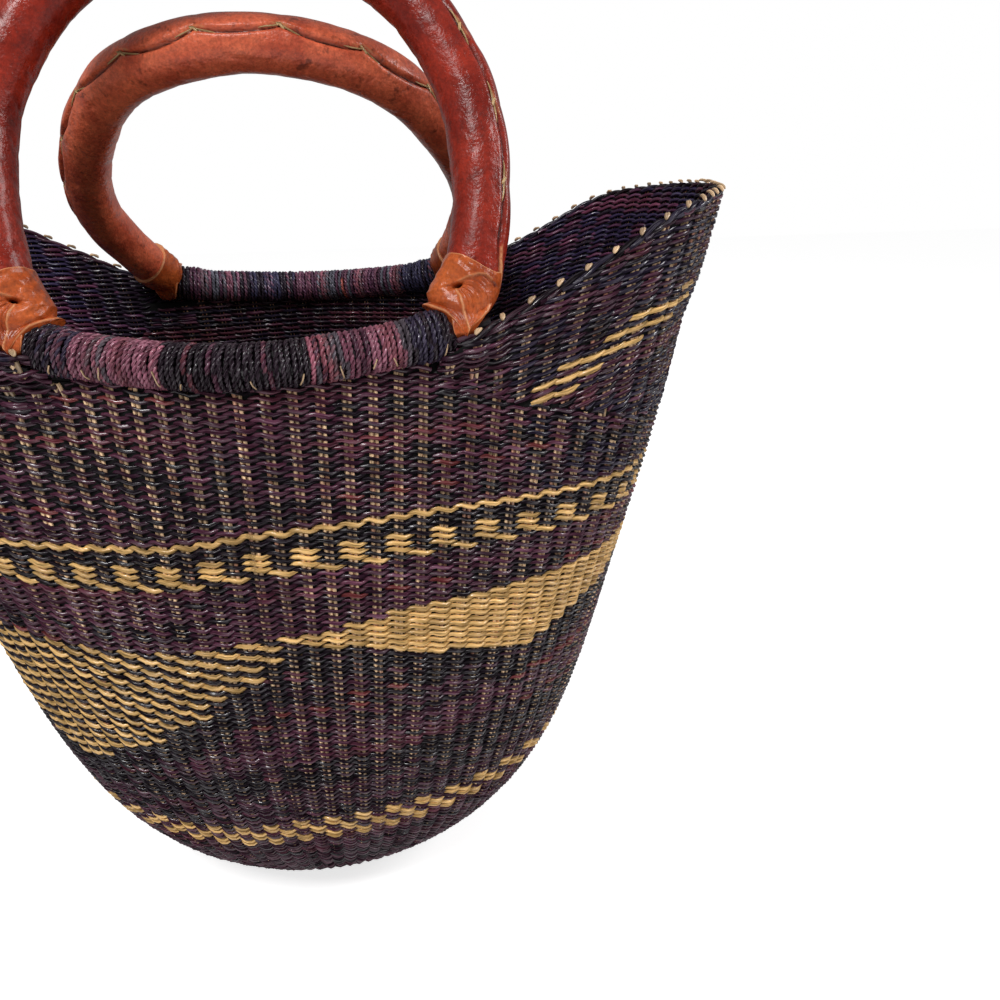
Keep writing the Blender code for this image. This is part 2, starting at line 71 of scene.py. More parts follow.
def addNode(tree, kind, inputs=None, **settings):
    node = tree.nodes.new(kind)
    for key, value in settings.items():
        setattr(node, key, value)
    feed(tree, node, inputs or {})
    return node


def maths(tree, operation, *values):
    return addNode(tree, "ShaderNodeMath", dict(enumerate(values)), operation=operation).outputs[0]


def scaled(tree, vector, amount):
    return addNode(tree, "ShaderNodeVectorMath", {0: vector, "Scale": amount}, operation="SCALE").outputs[0]


def ramp(tree, value, low, high, start=0.0, end=1.0):
    given = {"Value": value, "From Min": low, "From Max": high, "To Min": start, "To Max": end}
    return addNode(tree, "ShaderNodeMapRange", given).outputs["Result"]


def noise(tree, place, scale, detail=2.0, rough=0.5):
    given = {"Vector": place, "Scale": scale, "Detail": detail, "Roughness": rough}
    return addNode(tree, "ShaderNodeTexNoise", given).outputs["Fac"]


def evenGrey(tree, value):
    return addNode(tree, "ShaderNodeCombineColor", {"Red": value, "Green": value, "Blue": value}).outputs[0]


def mixColour(tree, kind, amount, first, second):
    given = {"Factor": amount, "A": first, "B": second}
    return liveSocket(addNode(tree, "ShaderNodeMix", given, data_type="RGBA", blend_type=kind).outputs, "Result")


def attribute(tree, name, output):
    return addNode(tree, "ShaderNodeAttribute", attribute_type="GEOMETRY", attribute_name=name).outputs[output]


def startMaterial(name):
    made = bpy.data.materials.new(name)
    made.use_nodes = True
    return made, made.node_tree, made.node_tree.nodes["Principled BSDF"]


def dressShader(tree, shader, look, strength, distance):
    # roughness and relief of a look go into the shader
    bump = {"Height": look.outputs["Relief"], "Strength": strength, "Distance": distance}
    feed(tree, shader, {"Roughness": look.outputs["Roughness"],
                        "Normal": addNode(tree, "ShaderNodeBump", bump).outputs[0]})


def makeGroup(name, inputs, outputs, kind="ShaderNodeTree"):
    tree = bpy.data.node_groups.new(name, kind)
    for way, sockets in (("INPUT", inputs), ("OUTPUT", outputs)):
        for label, form, *value in sockets:
            made = tree.interface.new_socket(label, in_out=way, socket_type="NodeSocket" + form)
            if value:
                made.default_value = value[0]
    return tree, tree.nodes.new("NodeGroupInput").outputs, tree.nodes.new("NodeGroupOutput")


# camera, floor and light
studio = {
    "cameraPlace": (0.0675987, -0.4246654, 0.3522084),
    "yaw": -0.0798,            # radians, negative turns to the right
    "pitch": 0.3719,           # down
    "roll": -0.0248,
    "lens": 30.56,
    "sensor": 36,
    "nearClip": 0.01,
    "floorSize": 8.0,
    "floorColour": (0.86, 0.86, 0.86, 1),
    "floorGlow": 0.72,
    "worldStrength": 0.30,
    "lamps": (("key", (-0.35, -0.95, 1.5), 15.0), ("sideLight", (1.3, -0.1, 0.9), 8.0)),
    "lampSize": 0.45,
    "lampAim": (0, 0, 0.2),
}


def makeCamera():
    yaw, pitch, roll = studio["yaw"], studio["pitch"], studio["roll"]
    ahead = Vector((-math.sin(yaw) * math.cos(pitch), math.cos(yaw) * math.cos(pitch), -math.sin(pitch)))
    right = Vector((math.cos(yaw), math.sin(yaw), 0))
    up = right.cross(ahead)
    turnedRight = math.cos(roll) * right + math.sin(roll) * up
    turnedUp = -math.sin(roll) * right + math.cos(roll) * up
    cam = placed("camera", bpy.data.cameras.new("camera"))
    cam.data.lens = studio["lens"]
    cam.data.sensor_width = studio["sensor"]
    cam.data.clip_start = studio["nearClip"]
    turn = Matrix((turnedRight, turnedUp, -ahead)).transposed().to_4x4()
    cam.matrix_world = Matrix.Translation(studio["cameraPlace"]) @ turn
    scene.camera = cam


def splitByRay(tree, usual, seen, end):
    # the camera sees one shader and the object is lit by the other
    rays = addNode(tree, "ShaderNodeLightPath").outputs["Is Camera Ray"]
    mixed = addNode(tree, "ShaderNodeMixShader", {"Fac": rays, 1: usual, 2: seen})
    feed(tree, tree.nodes[end], {"Surface": mixed.outputs[0]})


def makeStage():
    scene.view_settings.view_transform = "Standard"
    floor = placed("floor", bpy.data.meshes.new("floor"))
    flat = bmesh.new()
    bmesh.ops.create_grid(flat, x_segments=2, y_segments=2, size=studio["floorSize"] / 2)
    flat.to_mesh(floor.data)
    flat.free()
    paper, tree, spare = startMaterial("paper")
    tree.nodes.remove(spare)
    diffuse = addNode(tree, "ShaderNodeBsdfDiffuse", {"Color": studio["floorColour"]}).outputs[0]
    glow = addNode(tree, "ShaderNodeEmission", {"Color": white, "Strength": studio["floorGlow"]}).outputs[0]
    splitByRay(tree, diffuse, addNode(tree, "ShaderNodeAddShader", {0: diffuse, 1: glow}).outputs[0],
               "Material Output")
    floor.data.materials.append(paper)
    for name, place, power in studio["lamps"]:
        lamp = placed(name, bpy.data.lights.new(name, "AREA"))
        lamp.data.energy = power
        lamp.data.size = studio["lampSize"]
        lamp.location = place
        lamp.rotation_euler = (Vector(studio["lampAim"]) - lamp.location).to_track_quat("-Z", "Y").to_euler()
    scene.world = bpy.data.worlds.new("studio")
    scene.world.use_nodes = True
    tree = scene.world.node_tree
    back = tree.nodes["Background"]
    feed(tree, back, {"Color": white, "Strength": studio["worldStrength"]})
    splitByRay(tree, back.outputs[0], addNode(tree, "ShaderNodeBackground", {"Color": white}).outputs[0],
               "World Output")


makeCamera()
makeStage()
print("stage ready")

# shape of the basket, as the solid model has it
basket = {
    "rimHeight": 0.288,
    "halfLength": 0.189,
    "halfDepth": 0.126,
    "restRadius": 0.036,
    "thickness": 0.005,
    "wingSpan": 0.210,
    "wingRise": 0.0558,
    "rimHalfDepth": 0.117,
    "footSpacing": 0.0825,
    # of height, length and depth
    "wallShares": ((0.012, 0.300, 0.432), (0.050, 0.423, 0.590), (0.120, 0.575, 0.745),
                   (0.250, 0.703, 0.885), (0.450, 0.808, 0.975), (0.700, 0.904, 1.000), (1.0, 1.0, 0.950)),
    "planShares": ((0.0, 1.0), (0.393, 0.842), (0.62, 0.803), (0.85, 0.689), (0.96, 0.425), (1.0, 0.0)),
    "riseShares": ((0.0, 0.0), (0.393, 0.129), (0.62, 0.498), (0.85, 0.902), (1.0, 1.0)),
    "blendShare": 0.5,         # above this share of the height the plan turns into the rim's
}


def smoothStep(value, low, high):
    share = np.clip((value - low) / (high - low), 0, 1)
    return share * share * (3 - 2 * share)


def hump(value, rise, full, fall, end):
    # from nought up to one and back down
    return smoothStep(value, rise, full) * (1 - smoothStep(value, fall, end))


def bell(value, width, power=2):
    return np.exp(-(value / width) ** power)


def unit(vectors):
    return vectors / (np.linalg.norm(vectors, axis=-1, keepdims=True) + 1e-12)


def opaque(colours):
    return np.concatenate([colours, np.ones((len(colours), 1))], 1)


def lengthAlong(line):
    # distance from its start at each point of a line
    return np.concatenate([[0], np.cumsum(np.linalg.norm(np.diff(line, axis=0), axis=1))])


def spotsAt(at, length, line):
    # points of a line at these distances
    return np.stack([np.interp(at, length, line[:, k]) for k in range(3)], -1)


def monotone(pairs, at):
    # smooth curve through the pairs that never overshoots between them
    xs, ys = np.array(pairs, float).T
    width = np.diff(xs)
    slope = np.diff(ys) / width
    tangent = np.zeros(len(xs))
    for i in range(1, len(xs) - 1):
        if slope[i - 1] * slope[i] > 0:
            heavy = 2 * width[i] + width[i - 1]
            light = width[i] + 2 * width[i - 1]
            tangent[i] = (heavy + light) / (heavy / slope[i - 1] + light / slope[i])
    tangent[-1] = slope[-1]
    at = np.asarray(at, float)
    i = np.clip(np.searchsorted(xs, at) - 1, 0, len(width) - 1)
    s = (np.clip(at, xs[0], xs[-1]) - xs[i]) / width[i]
    start = ys[i] * (1 + 2 * s) * (1 - s) ** 2 + tangent[i] * width[i] * s * (1 - s) ** 2
    end = ys[i + 1] * s * s * (3 - 2 * s) + tangent[i + 1] * width[i] * s * s * (s - 1)
    return start + end


def spanShare(x):
    return np.minimum(np.abs(x) / basket["wingSpan"], 1.0)


def rimDepth(x):
    share = spanShare(x)
    last, tip = basket["planShares"][-2:]
    roundEnd = np.sqrt(np.maximum(0.0, (tip[0] - share) / (tip[0] - last[0])))
    inner = monotone(basket["planShares"][:-1], share)
    return basket["rimHalfDepth"] * np.where(share > last[0], last[1] * roundEnd, inner)


def rimTop(x):
    return basket["rimHeight"] + basket["wingRise"] * monotone(basket["riseShares"], spanShare(x))


def wallHalf(z, half, column):
    # half the wall's length or depth at height z, up to the rim
    pairs = [(0.0, basket["restRadius"] / half)] + [(row[0], row[column]) for row in basket["wallShares"]]
    return half * monotone(pairs, np.minimum(np.asarray(z, float) / basket["rimHeight"], 1.0))


def wallHalfLength(z):
    # above the rim the wall flares out evenly to the wings' tips
    half = basket["halfLength"]
    over = (np.asarray(z, float) / basket["rimHeight"] - 1) * basket["rimHeight"] / basket["wingRise"]
    return np.where(over > 0, half + (basket["wingSpan"] - half) * over, wallHalf(z, half, 1))


def wallHalfDepth(z):
    return wallHalf(z, basket["halfDepth"], 2)


def rimXAt(angle):
    # X of the rim line on the stake that stands at this angle
    x = basket["halfLength"] * np.cos(angle)
    for _ in range(40):
        x = 0.5 * x + 0.5 * wallHalfLength(rimTop(x)) * np.cos(angle)
    return x


angleTable = np.linspace(-math.pi, math.pi * 3, 4001)
rimXTable = rimXAt(angleTable)
rimShareTable = rimDepth(rimXTable) / basket["rimHalfDepth"] * np.where(np.sin(angleTable) < 0, -1, 1)


def wallPoint(angle, z):
    # outer face of the wall on the stake at this angle, at height z
    angle, z = np.broadcast_arrays(np.asarray(angle, float), np.asarray(z, float))
    blend = smoothStep(z / basket["rimHeight"], basket["blendShare"], 1)
    share = np.sin(angle) * (1 - blend) + np.interp(angle, angleTable, rimShareTable) * blend
    return np.stack([wallHalfLength(z) * np.cos(angle), wallHalfDepth(z) * share, z], -1)


# the weave: stakes of two straws, and rows of two strands twined over them
weave = {
    "stakes": 104,
    "stakeShift": -0.22,       # stakes, from the middle of the front
    "levelHeight": 0.226,      # height at which the stakes are evenly spaced
    "rowPitch": 0.0027,
    "ropeReach": 0.3025,       # from the middle of the base up the front to the plain line
    "samples": 4,              # points on a strand for each stake
    "sides": 5,
    "strandRadius": 0.00096,
    "swayDepth": 0.00142,      # a strand's way out over a stake and in behind the next
    "swayRise": -0.00050,
    "waveRise": 0.00042,       # the slant of a strand where it crosses its stake
    "pinch": 0.10,             # a strand narrows by this share where it crosses
    "strawRadius": 0.00098,
    "strawSpread": 0.00094,
    "strawLift": 0.00045,      # the stakes lie this far out of the middle of the wall
    "strawStep": 0.0042,
    "strawRoom": (0.22, 0.2),  # spread and radius of straws where the stakes stand close, of their distance
    "strawShade": (0.32, 1.30, 1.3),   # least, range and power of it
    "stain": (0.34, 0.11, 0.08),
    "stainShare": 0.20,
    "stainDepth": 0.65,
    "jitter": 0.00013,
    "uneven": 0.26,            # by how much a strand's thickness varies
    "naturalFatter": 0.13,
    "naturalGreen": 0.2,       # undyed strands are those with more green in their colour
    "dyeDepth": (0.82, 0.66, 0.86),
    "underRim": 0.0068,        # full rows end this far below the rim line
    "notchDepth": 0.0147,      # and this far at the handles' feet
    "notchSides": (0.0125, 0.0100, 0.0220),
    "seamStart": (0.0700, 0.2725),
    "seamEnd": (0.2050, 0.2500),
    "joinReaches": (0.088, 0.044, 0.020, 0.004),
    "pointsPerPiece": 15500,
    # half the thickness of the dark sheet of painted shade in the middle of the wall
    "shadeSheetHalf": 0.00035,
}


# the rows sag at the left of the front: how far at each stake, and the share of it at each reach
sag = {
    "stakes": (-30.0, -16.0, -8.0, -4.2, -2.2, -1.0, 0.2, 2.0),
    "drops": (0.0, 0.0060, 0.0078, 0.0070, 0.0042, 0.0020, 0.0006, 0.0),
    "reaches": (0.06, 0.13, 0.20, 0.31, 0.350, 0.358),
    "shares": (0.0, 0.6, 1.0, 1.0, 0.15, 0.0),
}


def evenAngles():
    # angle of each stake number, evenly spaced round the wall, from the middle of the front to the right
    fine = np.linspace(-math.pi / 2, 1.5 * math.pi, 4001)
    length = lengthAlong(wallPoint(fine, weave["levelHeight"]))
    return fine, length / length[-1] * weave["stakes"]


fineAngles, fineStakes = evenAngles()


def stakeAngle(number):
    number = np.asarray(number, float) + weave["stakeShift"]
    turns = np.floor(number / weave["stakes"])
    return np.interp(number - turns * weave["stakes"], fineStakes, fineAngles) + turns * 2 * math.pi


# distance from the middle of the base, up the middle of the front, at each height
heightTable = np.linspace(0, basket["rimHeight"], 2001)
reachUp = basket["restRadius"] + lengthAlong(np.stack([heightTable, wallHalfDepth(heightTable)], -1))


def reachAt(height):
    return float(np.interp(height, heightTable, reachUp))


def seamHeight(x):
    return np.interp(np.abs(x), *zip(weave["seamStart"], weave["seamEnd"]))


def wallX(stake):
    return np.interp(stakeAngle(stake), angleTable, rimXTable)


def isFront(stake):
    return wallPoint(stakeAngle(stake), 0.28)[..., 1] < 0


def bodyTop(stake):
    # height of the highest full row on each stake
    x, foot = np.abs(wallX(stake)), basket["footSpacing"]
    inner, outer, over = weave["notchSides"]
    under = rimTop(x) - weave["underRim"]
    high = np.where(x < foot - inner, under, np.minimum(under, rimTop(foot) - weave["notchDepth"]))
    blend = smoothStep(x, foot + outer, foot + over)
    return high * (1 - blend) + seamHeight(x) * blend


def fromBack(stake):
    # stakes between this one and the middle of the back
    return np.abs(np.mod(stake, weave["stakes"]) - weave["stakes"] / 2)


def sagged(stake, reach):
    # the reach of a point whose row sags, as hand-woven rows do
    turn = np.mod(stake + weave["stakes"] / 2, weave["stakes"]) - weave["stakes"] / 2
    return reach - np.interp(turn, sag["stakes"], sag["drops"]) * np.interp(reach, sag["reaches"], sag["shares"])


def bodySurface(stake, reach):
    # outer face of the body at a stake number and a reach up from the base's middle
    stake, reach = np.broadcast_arrays(np.asarray(stake, float), np.asarray(reach, float))
    reach = sagged(stake, reach)
    place = wallPoint(stakeAngle(stake), np.interp(reach, reachUp, heightTable))
    rest = np.clip(reach / basket["restRadius"], 0, 1)[..., None]
    flat = np.concatenate([place[..., :2] * rest, np.zeros_like(place[..., 2:])], -1)
    return np.where(rest < 1, flat, place)


# the wings' short rows run along their edge; round each handle's foot they bulge out over its wrap
wing = {
    "start": 0.0700,
    "patchEnd": 0.0985,
    "patchBottom": 0.2822,
    "bulge": 0.0100,
    "bulgeWidth": 0.0135,
    "bulgeFade": 0.006,        # above and below the bottom of the patch
    "edgeDrop": 0.0028,
    "rows": 38,
    "rowShare": 0.97,          # of the pitch of the level rows
    "riseShare": 0.40,         # the rows climb towards the tips at this share of the edge's rise
    "swayRise": 0.00050,
    "waveShare": 0.45,
    "overlap": 0.0006,         # the rows pass the seam and the edge by this
    "strawStep": 0.0045,
    "rollEnd": 0.0785,
    "tuck": 0.0045,            # the rows' ends go in behind the roll's end
    "tuckDepth": 0.0034,
    "underRoll": 0.0064,
    # the rows at the back are lightened by this: painted light on the back wing's inner face
    "inside": (1.9, 2.2, 2.4, 1.0),
    "tipPull": 0.0050,         # the last of the tips leans back in
    "pullFrom": 0.306,
    "pullTo": 0.346,
    "tipX": 0.205,
    "shadeSheetDrop": 0.006,       # the sheet of painted shade reaches this far below the seam
}


def edgeHeight(stake):
    return rimTop(wallX(stake)) - wing["edgeDrop"]


def rowHeight(stake, down):
    # height of a wing's row that passes this far below the tip of the edge
    slack = (1 - wing["riseShare"]) * (basket["rimHeight"] + basket["wingRise"] - rimTop(wallX(stake)))
    return edgeHeight(stake) + slack - down


def wingSurface(stake, down):
    # outer face of a wing at a stake number, on the row this far below the tip of the edge
    stake, down = np.broadcast_arrays(np.asarray(stake, float), np.asarray(down, float))
    place = wallPoint(stakeAngle(stake), rowHeight(stake, down))
    x, y, z = np.moveaxis(place, -1, 0)
    fade = wing["bulgeFade"]
    lift = smoothStep(z, wing["patchBottom"] - fade, wing["patchBottom"] + fade)
    shift = np.zeros_like(place)
    shift[..., 1] = np.sign(y) * wing["bulge"] * bell(np.abs(x) - basket["footSpacing"], wing["bulgeWidth"], 4) * lift
    near = np.clip((z - wing["pullFrom"]) / (wing["pullTo"] - wing["pullFrom"]), 0, 1)
    shift[..., 0] = -np.sign(x) * wing["tipPull"] * near * (np.abs(x) / wing["tipX"]) ** 3
    return place + shift


def facing(surface, stake, along, sense=1):
    # place, way out and way up of a surface, by small steps on it
    right = surface(stake + 0.05, along) - surface(stake - 0.05, along)
    up = surface(stake, along + 0.0004 * sense) - surface(stake, along - 0.0004 * sense)
    out = unit(np.cross(right, up))
    return surface(stake, along), out, np.cross(out, unit(right))


# colours, linear; the dye took unevenly, so each strand also drifts around its colour
dyes = {
    "black": (0.0115, 0.0062, 0.0105),
    "navy": (0.0200, 0.0145, 0.0300),
    "plum": (0.0400, 0.0125, 0.0240),
    "purple": (0.0820, 0.0260, 0.0420),
    "violet": (0.1350, 0.0480, 0.0720),
    "pink": (0.1900, 0.0580, 0.0850),
    "red": (0.1700, 0.0360, 0.0300),
    "blush": (0.1550, 0.0400, 0.0480),
    "grey": (0.0450, 0.0350, 0.0450),
    "natural": (0.6600, 0.4000, 0.1450),
    "straw": (0.6800, 0.4600, 0.2700),
}
dyeNames = list(dyes)
dyeTable = np.array(list(dyes.values()))


def scatter(*parts):
    # a steady number from 0 to 1 for each set of whole numbers
    total = 0.0
    for weight, part in zip((127.1, 311.7, 74.7, 53.3), parts):
        total = total + np.asarray(part, float) * weight
    mixed = np.sin(total) * 43758.5453
    return mixed - np.floor(mixed)


def pickDye(shares, chance):
    # dye numbers drawn by chance from a table of dyes and their shares
    names, parts = zip(*shares)
    edges = np.cumsum(np.array(parts) / sum(parts))
    index = np.minimum(np.searchsorted(edges, chance), len(names) - 1)
    return np.array([dyeNames.index(name) for name in names])[index]


natural, black = dyeNames.index("natural"), dyeNames.index("black")


def paint(index, row, strand, stake, spread=0.28):
    # RGBA of dye numbers, each stretch a little lighter or darker, with a blush here and there
    shade = 1 + spread * (scatter(row, np.floor(stake / 3.0 + 0.4 * strand), strand, 5) - 0.5) * 2
    stake = np.asarray(stake, float)
    warmth = np.sin(stake * 0.35 + row * 0.6 + 1.3) + np.sin(stake * 0.17 - row * 0.9 + 4) + np.sin(row * 0.33)
    dyed = (index != natural) & (index != black)
    warm = (np.clip((warmth - 0.9) / 1.3, 0, 1) * 0.55 * dyed)[:, None]
    return opaque((dyeTable[index] * (1 - warm) + np.array(dyes["blush"]) * warm) * shade[:, None])


# the pattern, counted in rows down from the plain line and in stakes from the middle of the front
pattern = {
    "upper": (("purple", 0.40), ("plum", 0.33), ("black", 0.20), ("red", 0.03), ("violet", 0.04)),
    "underCheck": (("purple", 0.56), ("plum", 0.26), ("red", 0.04), ("violet", 0.06), ("black", 0.08)),
    "dark": (("black", 0.86), ("plum", 0.14)),
    "middle": (("purple", 0.42), ("plum", 0.30), ("red", 0.06), ("black", 0.22)),
    "reddish": (("purple", 0.50), ("red", 0.14), ("plum", 0.22), ("black", 0.14)),
    "lower": (("plum", 0.42), ("black", 0.30), ("purple", 0.28)),
    "base": (("plum", 0.45), ("purple", 0.45), ("black", 0.10)),
    "lowCheck": (("purple", 1), ("plum", 1)),
    "wing": (("navy", 0.58), ("plum", 0.22), ("purple", 0.12), ("black", 0.08)),
    "bands": ((36, "middle"), (40, "reddish"), (46, "dark"), (54, "lower"), (999, "base")),  # each to its last row
    "checkEnd": 6,
    "wedgeTop": 15,
    "wedgeStakes": 25,
    "wedgeSlope": 0.80,
    "stripeTop": 17,
    "stripeBottom": 20,
    "stripeSlope": 1.63,
    "shadowRows": 6,           # dark rows under the wedges and stripes
    "lowCheckTop": 55,
    "period": 52,
    "runStakes": 6.0,          # stakes that one dyed strand lasts
    "behindStakes": 22,
    "wingStripes": ((13, 0.186, 0.199), (15, 0.161, 0.199), (17, 0.146, 0.187), (19, 0.1295, 0.168),
                    (21, 0.1185, 0.154), (23, 0.1175, 0.134)),   # row, and its X from and to
}


def bodyDyes(row, stake, strand):
    # dye numbers for one strand of one row at these whole stake numbers
    run = np.floor(stake / pattern["runStakes"] + 0.37 * row + 0.5 * strand)
    chance = scatter(row, run, strand, 1)
    even = np.mod(stake, 2) == 0
    wedgeTop = pattern["wedgeTop"]

    def drawn(name):
        return pickDye(pattern[name], chance)

    if row < 0:
        tipward = np.clip((np.abs(wallX(stake)) - 0.105) / 0.05, 0, 1)
        behind = 0.8 * (fromBack(stake) < pattern["behindStakes"])
        swap = scatter(row, run, strand, 2) < np.maximum(0.85 * tipward, behind)
        return np.where(swap, drawn("wing"), drawn("upper"))
    if row <= 2:
        return np.full(len(stake), black if row else natural)
    if row <= pattern["checkEnd"]:
        return np.where(even == (row < pattern["checkEnd"]), natural, black)
    if row < wedgeTop:
        return drawn("underCheck")
    block = (row - pattern["lowCheckTop"]) // 2
    if 0 <= block < 3:
        return np.where(even == (block % 2 == 0), natural, drawn("lowCheck"))
    made = drawn(next(name for last, name in pattern["bands"] if row <= last))
    if block >= 3:
        return made
    phase = np.mod(stake - 1, pattern["period"])
    wide = pattern["wedgeStakes"] - 1
    inWedge = phase <= wide
    wedgeDepth = wedgeTop + 3 + np.round(pattern["wedgeSlope"] * np.minimum(phase, wide - phase))
    stripeWide = np.minimum(phase - wide, pattern["period"] - phase)
    bottom = np.where(inWedge, wedgeDepth, pattern["stripeBottom"] + pattern["stripeSlope"] * stripeWide)
    made = np.where((row >= bottom) & (row < bottom + pattern["shadowRows"]), drawn("dark"), made)
    if row < pattern["stripeTop"]:
        made = np.where(inWedge, made, drawn("middle"))
    striped = ~inWedge & (row >= pattern["stripeTop"]) & (row < bottom)
    made = np.where(striped, np.where(np.mod(row + stake, 2) == 0, natural, black), made)
    top = wedgeTop + np.maximum(0, np.round((6 - phase) / 2.4))
    made = np.where(inWedge & (row < top), drawn("underCheck"), made)
    return np.where(inWedge & (row >= top) & (row < bottom), natural, made)


def wingDyes(row, stake, strand):
    run = np.floor(stake / pattern["runStakes"] + 0.41 * row + 0.5 * strand)
    x = np.abs(wallX(stake))
    front = fromBack(stake) > weave["stakes"] / 4
    made = pickDye(pattern["wing"], scatter(row, run, strand, 3))
    plainer = np.clip((0.125 - x) / 0.03, 0, 1)
    # near the feet the back wing takes the dark dyes: painted shadow on the far wall
    dim = np.clip((0.135 - x) / 0.02, 0, 1) * ~front
    for name, kind, seed, share in (("upper", 4, 7, plainer), ("dark", 8, 5, dim)):
        other = pickDye(pattern[name], scatter(row, run, seed, 3))
        made = np.where(scatter(row, run, strand, kind) < share, other, made)
    for stripe, start, end in pattern["wingStripes"]:
        if row == stripe:
            made = np.where(front & (x > start) & (x < end), natural, made)
    return made


# strands: a dyed straw, seen as long fibres with a dull shine; the lighter and darker streaks in their colour are
# partly the fibres' own tone and partly painted highlight and shade
fibre = {"streak": 130.0, "around": 1.25, "depth": 0.60, "dull": 0.60, "sharp": 0.22, "shine": (0.06, 1.0),
         "ridge": (0.44, 0.61), "bump": 0.9, "bumpDepth": 0.0004}


def makeFibreGroup():
    tree, given, out = makeGroup("fibreStreaks",
                                 (("Tint", "Color", (0.5, 0.5, 0.5, 1)), ("Run", "Float", 0.0), ("Around", "Vector")),
                                 (("Color", "Color"), ("Relief", "Float"), ("Roughness", "Float"), ("Shine", "Float")))
    slide = maths(tree, "MULTIPLY", given["Run"], fibre["streak"])
    spot = addNode(tree, "ShaderNodeVectorMath", {
        0: scaled(tree, given["Around"], fibre["around"]),
        1: addNode(tree, "ShaderNodeCombineXYZ", {"Z": slide}).outputs[0]})
    streaks = noise(tree, spot.outputs[0], 1.0)
    # streaks that lighten and darken the tint: partly the straw's own tone, partly painted highlight and shade
    shade = evenGrey(tree, ramp(tree, streaks, 0.3, 0.7, 1 - fibre["depth"], 1 + fibre["depth"]))
    feed(tree, out, {"Color": mixColour(tree, "MULTIPLY", 1.0, given["Tint"], shade), "Relief": streaks,
                     "Roughness": ramp(tree, streaks, *fibre["ridge"], fibre["dull"], fibre["sharp"]),
                     "Shine": ramp(tree, streaks, *fibre["ridge"], *fibre["shine"])})
    return tree


fibreGroup = makeFibreGroup()


def makeStrandMaterial(name, shine):
    made, tree, shader = startMaterial(name)
    look = addNode(tree, "ShaderNodeGroup", {
        "Tint": attribute(tree, "tint", "Color"), "Run": attribute(tree, "run", "Fac"),
        "Around": attribute(tree, "around", "Vector")}, node_tree=fibreGroup)
    dressShader(tree, shader, look, fibre["bump"], fibre["bumpDepth"])
    feed(tree, shader, {"Base Color": look.outputs["Color"],
                        "Specular IOR Level": maths(tree, "MULTIPLY", look.outputs["Shine"], shine)})
    return made


# what the strand tree reads on the points of a line, beside its place
strandValues = {"outward": "FLOAT_VECTOR", "upward": "FLOAT_VECTOR", "phase": "FLOAT", "depthScale": "FLOAT",
                "waveScale": "FLOAT", "fatness": "FLOAT", "run": "FLOAT", "tint": "FLOAT_COLOR"}
strandSizes = ("Strand Radius", "Sway Depth", "Sway Rise", "Wave Rise", "Pinch")


def makeStrandTree(name, material, sides):
    # turns lines into strands: each point sways out and up by its phase, then is swept with a round section
    shape = (("Geometry", "Geometry"),)
    tree, given, out = makeGroup(name, shape + tuple((label, "Float") for label in strandSizes), shape,
                                 "GeometryNodeTree")

    def named(label):
        node = addNode(tree, "GeometryNodeInputNamedAttribute", {"Name": label}, data_type=strandValues[label])
        return liveSocket(node.outputs, "Attribute")

    def times(first, *others):
        for other in others:
            first = maths(tree, "MULTIPLY", first, other)
        return first

    phase = named("phase")
    sine, cosine = maths(tree, "SINE", phase), maths(tree, "COSINE", phase)
    depth = times(cosine, given["Sway Depth"], named("depthScale"))
    wave = times(maths(tree, "SINE", times(phase, 2.0)), given["Wave Rise"], named("waveScale"))
    rise = maths(tree, "SUBTRACT", times(sine, given["Sway Rise"]), wave)
    shift = addNode(tree, "ShaderNodeVectorMath", {0: scaled(tree, named("outward"), depth),
                                                   1: scaled(tree, named("upward"), rise)})
    place = addNode(tree, "GeometryNodeSetPosition", {"Geometry": given["Geometry"], "Offset": shift.outputs[0]})
    line = addNode(tree, "GeometryNodeMeshToCurve", {"Mesh": place.outputs[0]})
    narrow = maths(tree, "SUBTRACT", 1.0, times(sine, sine, given["Pinch"]))
    ring = addNode(tree, "GeometryNodeCurvePrimitiveCircle", {"Resolution": sides, "Radius": 1.0}, mode="RADIUS")
    spot = addNode(tree, "GeometryNodeInputPosition").outputs[0]
    around = addNode(tree, "GeometryNodeStoreNamedAttribute",
                     {"Geometry": ring.outputs[0], "Name": "around", "Value": spot},
                     data_type="FLOAT_VECTOR", domain="POINT")
    tube = addNode(tree, "GeometryNodeCurveToMesh", {
        "Curve": line.outputs[0], "Profile Curve": around.outputs[0], "Fill Caps": True,
        "Scale": times(narrow, given["Strand Radius"], named("fatness"))})
    smooth = addNode(tree, "GeometryNodeSetShadeSmooth", {"Geometry": tube.outputs[0]})
    real = addNode(tree, "GeometryNodeRealizeInstances", {0: smooth.outputs[0]})
    coat = addNode(tree, "GeometryNodeSetMaterial", {"Geometry": real.outputs[0], "Material": material})
    feed(tree, out, {"Geometry": coat.outputs[0]})
    return tree


strawTree = makeStrandTree("straws", makeStrandMaterial("dyedStraw", 1.0), weave["sides"])
cordTree = makeStrandTree("cords", makeStrandMaterial("rollCord", 0.95), 5)
strawSizes = dict(zip(strandSizes, (weave[key] for key in ("strandRadius", "swayDepth", "swayRise", "waveRise",
                                                           "pinch"))))
wingSizes = dict(strawSizes, **{"Sway Rise": wing["swayRise"]})
borderSizes = dict(strawSizes, **{"Sway Depth": 0.0009, "Sway Rise": 0.0003, "Wave Rise": 0.0})
plainSizes = dict.fromkeys(strandSizes, 0.0) | {"Strand Radius": 1.0}


